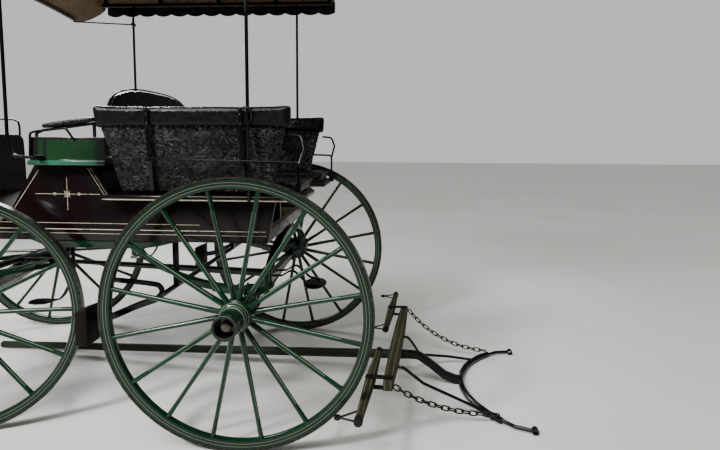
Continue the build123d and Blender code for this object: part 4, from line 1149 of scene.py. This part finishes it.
driver_back = block("driver_back", (-0.700 + AXLE_X, -0.492, BACK_Z), (-0.668 + AXLE_X, 0.492, 1.655), cuts=23)
for vertex in driver_back.data.vertices:
    share = (vertex.co.z - BACK_Z) / 0.265
    vertex.co.z = BACK_Z + share * (hump(vertex.co.y) - 0.008 - BACK_Z)
swell(driver_back, 0.009, 0.006)
pressed(driver_back, driver_back_relief)
pipe_line = [(y / 40, hump(y / 40) - 0.0045) for y in range(-19, 20, 2)]
pipe_line = [(-PIPE_Y, 1.40), (-PIPE_Y, 1.48), *pipe_line, (PIPE_Y, 1.48), (PIPE_Y, 1.40)]
back_piping = rod("driver_back_piping", [(PIPE_X, y, z) for y, z in pipe_line], 0.0040)

# %% Arm pads
arm_pad = block("arm_pad_left", (-0.963 + AXLE_X, -0.558, 1.4275), (-0.714 + AXLE_X, -0.526, 1.4475), 0.005)
for vertex in arm_pad.data.vertices:
    vertex.co.z += (vertex.co.x - AXLE_X + 0.966) * 0.1294
swell(arm_pad, 0.004, 0.003)
other_pad = copied(arm_pad, mirror, "arm_pad_right")

handed(back_piping, smooth_leather, "driver_seat_back")
for piece, node in (
    (driver_cushion, "driver_cushion"), (driver_back, "driver_seat_back"), (arm_pad, "driver_arm_pads"),
    (other_pad, "driver_arm_pads"),
):
    handed(piece, smooth_leather, node)
print("driver's seat:", len(driver_cushion.data.polygons), "+", len(driver_back.data.polygons), "faces")

# %% [markdown]
# ## The canopy's cloth
# The top is one curved sheet of black leather cloth stretched over bowed ribs, with a brow that dips at the front.
# Inside it has a tan lining. We lay out a flat grid, bend it to the ribs, and give it thickness. The lower side takes
# the lining. Between the ribs the sheet sinks a few millimetres, as stretched cloth does.

# %% Canopy cloth finishes
top_cloth = leathered(
    "black top cloth", 0.4, 0.0012, (0.0045, 0.0042, 0.0040, 1), (0.020, 0.018, 0.016, 1), 0.3,
)
lining, shader, place = new_finish("tan lining")
warp, weft = (
    fed("ShaderNodeTexWave", place, output="Fac", Scale=180.0, bands_direction=direction) for direction in "XY"
)
weave = times(warp, weft)
stain = between(clouds(place, 3.5, 6, 0.6), 0.35, 0.7)
tan = blended(stain, (0.129, 0.082, 0.039, 1), (0.071, 0.044, 0.020, 1))
dress(shader, blended(times(weave, 0.25), tan, (0.177, 0.119, 0.065, 1)), 0.85, weave, 0.0005)

# %% The canopy's form
ROOF_REAR, ROOF_FRONT = 0.280, -1.318
ROOF_HALF, ROOF_EDGE, ROOF_RISE = 0.668, 2.310, 0.105
VALANCE_FOOT = ROOF_EDGE - 0.082
ARCH_R = (ROOF_HALF**2 + ROOF_RISE**2) / (2 * ROOF_RISE)
# Place along the body, height of the edge and tilt of the arch, from the tail to the tip of the brow
BROW = ((0, 0, 0), (0.10, 0.34, 12), (0.31, 0.60, 22), (0.61, 0.84, 32), (0.90, 0.97, 38), (1, 1, 40))
STATIONS = [(ROOF_REAR, ROOF_EDGE, 0.0)]
STATIONS += [(ROOF_FRONT - 0.217 * reach, ROOF_EDGE - 0.114 * drop, tilt) for reach, drop, tilt in BROW]
RIBS = (-1.288, -0.900, -0.500, -0.110, 0.250)


def roof_place(share, y, sunk):
    """A place on the top: share counts the stations from the tail, with halves between them."""
    first = min(int(share), len(STATIONS) - 2)
    high = ROOF_RISE - ARCH_R + math.sqrt(max(ARCH_R**2 - y**2, 0)) - sunk
    ends = [
        Vector((x - math.sin(math.radians(tilt)) * high, y, z + math.cos(math.radians(tilt)) * high))
        for x, z, tilt in STATIONS[first:first + 2]
    ]
    return ends[0].lerp(ends[1], share - first)


def grid(name, across, deep):
    """A flat net of small faces, from minus one to one both ways."""
    rest()
    bpy.ops.mesh.primitive_grid_add(x_subdivisions=across, y_subdivisions=deep, size=2)
    piece = bpy.context.object
    piece.name = name
    return piece


def thickened(piece, thickness, offset, lining_slot=0):
    """Give a sheet its thickness, and tell its area from before that."""
    area = sum(polygon.area for polygon in piece.data.polygons)
    wall = piece.modifiers.new("thickness", "SOLIDIFY")
    wall.thickness, wall.offset, wall.material_offset = thickness, offset, lining_slot
    apply_all(piece)
    smooth(piece, 40)
    return area


# %% The cover
BODY_SHARE = 0.70  # this much of the grid's length lies over the body, the rest over the brow
cover = grid("canopy_cover", 96, 56)
for vertex in cover.data.vertices:
    along, y = (vertex.co.x + 1) / 2, vertex.co.y * (ROOF_HALF - 0.001)
    share = along / BODY_SHARE if along < BODY_SHARE else 1 + (along - BODY_SHARE) / 0.30 * 5
    share = min(share, 6.0)
    place = roof_place(share, y, 0.0)
    slack = 0.0045 * (1 - bell(min(abs(place.x - at) for at in RIBS), 0.09)) * math.cos(y / ROOF_HALF * math.pi / 2)
    ripple = 0.0008 * noise.noise(Vector((place.x * 6, y * 6, 0)))
    vertex.co = roof_place(share, y, (slack + ripple + 0.0012) if 0 < along < 1 else 0.0012)
    vertex.co.x += AXLE_X
take(cover)
edit()
bpy.ops.mesh.normals_make_consistent(inside=False)
leave()
if sum(polygon.normal.z for polygon in cover.data.polygons) < 0:
    cover.data.flip_normals()
handed(cover, top_cloth, "roof")
cover.data.materials.append(lining)
area = thickened(cover, 0.0045, -1, 1)
print("cover area", round(area, 3), "square metres")

# %% [markdown]
# ## The valance
# A strip of the same cloth hangs from each edge, cut in scallops and bound with braid. We draw one side's strip as a
# fine grid, move its lower edge to the scallops, and let it wave a little. The braid is a thin bent cord under the
# edge.

# %% Valance strips
SCALLOPS = 14
PITCH = (ROOF_REAR - ROOF_FRONT) / SCALLOPS


def scallop_edge(x):
    """Height of the lower edge: a round lobe between two points."""
    part = ((x - ROOF_FRONT) / PITCH) % 1
    return VALANCE_FOOT + 0.0005 + 0.0165 * (1 - math.sin(math.pi * part) ** 0.7)


def hung(x, drop, side):
    """How far from the middle a point of the strip hangs, with the waves of the cloth."""
    wave = 0.0016 * math.sin(x * 38) * drop + 0.0010 * noise.noise(Vector((x * 9, drop * 2, 0))) * drop
    return side * (ROOF_HALF + 0.0025 + wave)


for side, hand in ((-1, "left"), (1, "right")):
    strip = grid(f"valance_{hand}", SCALLOPS * 14, 8)
    for vertex in strip.data.vertices:
        x = ROOF_FRONT + (vertex.co.x + 1) / 2 * (ROOF_REAR - ROOF_FRONT)
        drop = (1 - vertex.co.y) / 2
        foot = scallop_edge(min(max(x, ROOF_FRONT + 0.0001), ROOF_REAR - 0.0001))
        high = ROOF_EDGE - 0.0005 + (foot - ROOF_EDGE + 0.0005) * drop
        vertex.co = (x + AXLE_X, hung(x, drop, side), high)
    area = thickened(strip, 0.003, 0)
    # The braid takes eight steps along each scallop, and its last one stays inside the last scallop
    edge = []
    for step in [part / 8 for part in range(SCALLOPS * 8 + 1)]:
        x, z = ROOF_FRONT + PITCH * step, scallop_edge(ROOF_FRONT + PITCH * min(step, SCALLOPS - 0.001))
        edge.append((x + AXLE_X, hung(x, 1, side), z + 0.0010))
    braid = rod(f"braid_{hand}", edge, 0.0024, 1)
    handed(strip, top_cloth, "valance")
    handed(braid, smooth_leather, "valance")
    print(strip.name, "area", round(area, 4))

# %% [markdown]
# ## Stay chains
# Two chains run from the doubletree's ends to the bow. A link is a ring pulled long: we add a torus, take one half of
# it and move it away, so the sides between become straight. Each link is a copy turned by a quarter against the last.

# %% One link
LINK_R = 0.011
rest()
bpy.ops.mesh.primitive_torus_add(major_radius=LINK_R, minor_radius=0.0038, major_segments=20, minor_segments=8)
link = bpy.context.object
for vertex in link.data.vertices:
    if abs(vertex.co.x) > 0.0001:
        vertex.co.x += math.copysign(LINK_R, vertex.co.x)
smooth(link, 80)

# %% Hang the chains
def on_pole(x, y, z):
    """From the pole's own directions to the carriage's."""
    ahead, across = (math.cos(POLE_YAW), math.sin(POLE_YAW)), (-math.sin(POLE_YAW), math.cos(POLE_YAW))
    return Vector((POLE_X + x * ahead[0] + y * across[0], x * ahead[1] + y * across[1], z))


def arc_through(first, second, third):
    """The length of the round arc through three points, and a function for the place and direction along it."""
    a, b = first - third, second - third
    cross = a.cross(b)
    centre = third + (b * a.length_squared - a * b.length_squared).cross(cross) / (2 * cross.length_squared)
    arm_x = (first - centre).normalized()
    arm_y = cross.cross(arm_x).normalized()
    radius = (first - centre).length
    sweep, middle = (math.atan2((end - centre).dot(arm_y), (end - centre).dot(arm_x)) for end in (third, second))
    if sweep * middle < 0:
        sweep += math.copysign(2 * math.pi, middle)

    def station(share):
        """The place and the direction at a share of the arc."""
        cosine, sine = math.cos(sweep * share), math.sin(sweep * share)
        along = (arm_y * cosine - arm_x * sine) * math.copysign(1, sweep)
        return centre + radius * (arm_x * cosine + arm_y * sine), along

    return abs(sweep) * radius, station


LINK_PITCH = 0.035
CHAIN_LINE = ((0.030, 0.548, 0.226), (0.240, 0.448, 0.092), (0.530, 0.386, 0.043))
links = []
for side in (-1, 1):
    length, station = arc_through(*(on_pole(x, side * y, z) for x, y, z in CHAIN_LINE))
    count = round(length / LINK_PITCH)
    for number in range(count):
        spot, along = station((number + 0.5) / count)
        flat = along.cross(Vector((0, 0, 1))).normalized()
        facing = along.cross(flat) if (count - number) % 2 else flat
        links.append(copied(link, carried(along, facing.cross(along), facing, spot)))
    print("chain of", count, "links,", round(length, 3), "m")
bpy.data.objects.remove(link)
handed(joined("stay_chain_links", links), rough_iron, "stay_chains", "pole_set")

# %% [markdown]
# ## Bolts and nails
# Small round heads hold everything: bolts through the straps, nails along the rolls, studs round the canopy's edge.
# One head is a low dome, turned from a short profile, with few faces because there are hundreds.

# %% Heads
def head(name, radius, height, sides):
    """A low dome with its foot at the origin, pointing up."""
    profile = [(0, radius), (height * 0.35, radius), (height * 0.8, radius * 0.7), (height, radius * 0.25)]
    return smooth(turned(name, profile, sides), 60)


def fitted(name, pattern, spots, finish):
    """One head at each spot, facing out, and all of them made one piece."""
    heads = []
    for spot, out in spots:
        out = Vector(out).normalized()
        side = out.orthogonal().normalized()
        heads.append(copied(pattern, carried(side, out.cross(side), out, spot)))
    handed(joined(name, heads), finish)
    print(name, len(spots), "heads")


def on_backs(places, height):
    """The same places on both backs, each with its direction out."""
    return [
        (leaned(side) @ Vector((x, up, height)), leaned(side).to_3x3() @ Vector((0, 0, 1)))
        for side in (-1, 1) for x, up in places
    ]


def on_brow(share, sunk, out, start, pitch, count):
    """A row of places across the brow."""
    row = [roof_place(share, start + number * pitch, sunk) for number in range(count)]
    return [((x + AXLE_X, y, z), out) for x, y, z in row]


bolt = head("bolt head", 0.0075, 0.005, 10)
nail = head("nail head", 0.0040, 0.0025, 7)
strap_places = [(x, up) for x in STRAPS_X for up in (0.020, 0.165, 0.330, 0.372, 0.398)]
fitted("strap_bolts", bolt, on_backs(strap_places, 0.0125), black_iron)
roll_places = [(-0.655 + number * 0.0325, 0.319) for number in range(27)]
fitted("roll_nails", nail, on_backs(roll_places, 0.0035), rough_iron)
edge_studs = [
    ((ROOF_FRONT + 0.015 + number * 0.0402 + AXLE_X, side * (ROOF_HALF + 0.0042), ROOF_EDGE - 0.010), (0, side, 0))
    for side in (-1, 1) for number in range(40)
]
edge_studs += on_brow(5.97, 0.0, (-0.64, 0, 0.77), -0.600, 0.050, 25)
fitted("canopy_studs", nail, edge_studs, rough_iron)
fitted("brow_studs", nail, on_brow(5.5, 0.0288, (0.25, 0, -0.97), -0.594, 0.044, 28), worn_iron)
for pattern in (bolt, nail):
    bpy.data.objects.remove(pattern)

# %% Hook on the rear strap and edge of the dash
HOOK_LINE = [
    (0.010, 0.404, 0.012), (0.016, 0.409, 0.026), (0.040, 0.402, 0.031), (0.052, 0.376, 0.031), (0.047, 0.346, 0.027),
    (0.034, 0.338, 0.021),
]
for side, name in ((-1, "strap_hook_left"), (1, "strap_hook_right")):
    hook = rod(name, [leaned(side) @ Vector(point) for point in HOOK_LINE], 0.0042)
    handed(hook, rough_iron)
DASH_X = AXLE_X - 1.818
side_line = [(0.450, 1.030), (0.450, 1.355), (0.432, 1.391), (0.395, 1.4035)]
outline = [*side_line, (0.0, 1.4035), *((-y, z) for y, z in reversed(side_line))]
dash_edge = rod("dash_piping", [(DASH_X, y, z) for y, z in outline], 0.0055)
handed(dash_edge, smooth_leather)
print("hooks and dash piping")

# %% [markdown]
# ## Floor, light and the last look
# The carriage stands on a plain pale floor in soft studio light: a wide soft sun, a soft panel overhead, a key from
# the front left, and a weak one from behind to draw the edges. Black leather and dark paint show mostly what they
# reflect, so the lights are wide. The size is written down at the end for comparison with the solid model.

# %% Studio
rest()
bpy.ops.mesh.primitive_grid_add(x_subdivisions=4, y_subdivisions=4, size=60, location=(0, 0, 0))
floor = bpy.context.object
floor.name = "studio_floor"
floor_paint, shader, place = new_finish("pale studio floor")
tone = blended(between(clouds(place, 0.8, 3), 0.3, 0.7), (0.62, 0.60, 0.57, 1), (0.66, 0.64, 0.61, 1))
dress(shader, tone, 0.5, clouds(place, 60, 3), 0.0002)
floor.data.materials.append(floor_paint)
floor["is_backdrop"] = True

# %% Background
WALL_COLOR = (0.80, 0.79, 0.77, 1)
world = bpy.context.scene.world or bpy.data.worlds.new("studio")
bpy.context.scene.world = world
world.use_nodes = True
NET["tree"] = world.node_tree
wall = world.node_tree.nodes["Background"]
wall.inputs["Color"].default_value = WALL_COLOR
wall.inputs["Strength"].default_value = 0.85
dim = put("ShaderNodeBackground", Color=WALL_COLOR, Strength=0.15)
seen = put("ShaderNodeLightPath").outputs["Is Camera Ray"]
mixed = fed("ShaderNodeMixShader", seen, dim.outputs[0], wall.outputs[0])
feed(mixed, world.node_tree.nodes["World Output"].inputs["Surface"])


# %% Lamps
def lamp(name, kind, spot, toward, **settings):
    """A light at a spot that shines in one direction."""
    data = bpy.data.lights.new(name, kind)
    for key, value in settings.items():
        setattr(data, key, value)
    light = bpy.data.objects.new(name, data)
    bpy.context.collection.objects.link(light)
    light.location = spot
    light.rotation_euler = Vector(toward).to_track_quat("-Z", "Y").to_euler()


lamp("wide soft sun", "SUN", (0, 0, 0), (0.35, 0.55, -1.0), energy=2.5, angle=math.radians(30))
for name, spot, aim, width, height, power in (
    ("overhead panel", (0.6, -1.4, 4.6), (0, 0, 0.7), 3.6, 2.4, 70),
    ("key panel", (-2.9, -4.0, 4.5), (0, 0, 0.9), 0.8, 0.8, 430),
    ("edge panel", (-2.6, 3.4, 3.2), (0, 0, 1.0), 1.4, 1.4, 130),
):
    toward = Vector(aim) - Vector(spot)
    lamp(name, "AREA", spot, toward, shape="RECTANGLE", size=width, size_y=height, energy=power)
print("lights:", [light.name for light in bpy.data.lights])

# %% The two boxes
low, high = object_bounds()
for label, ends in (("solid box", (cad_low, cad_high)), ("dressed box", (low, high))):
    print(label, [round(b - a, 3) for a, b in zip(*ends)])
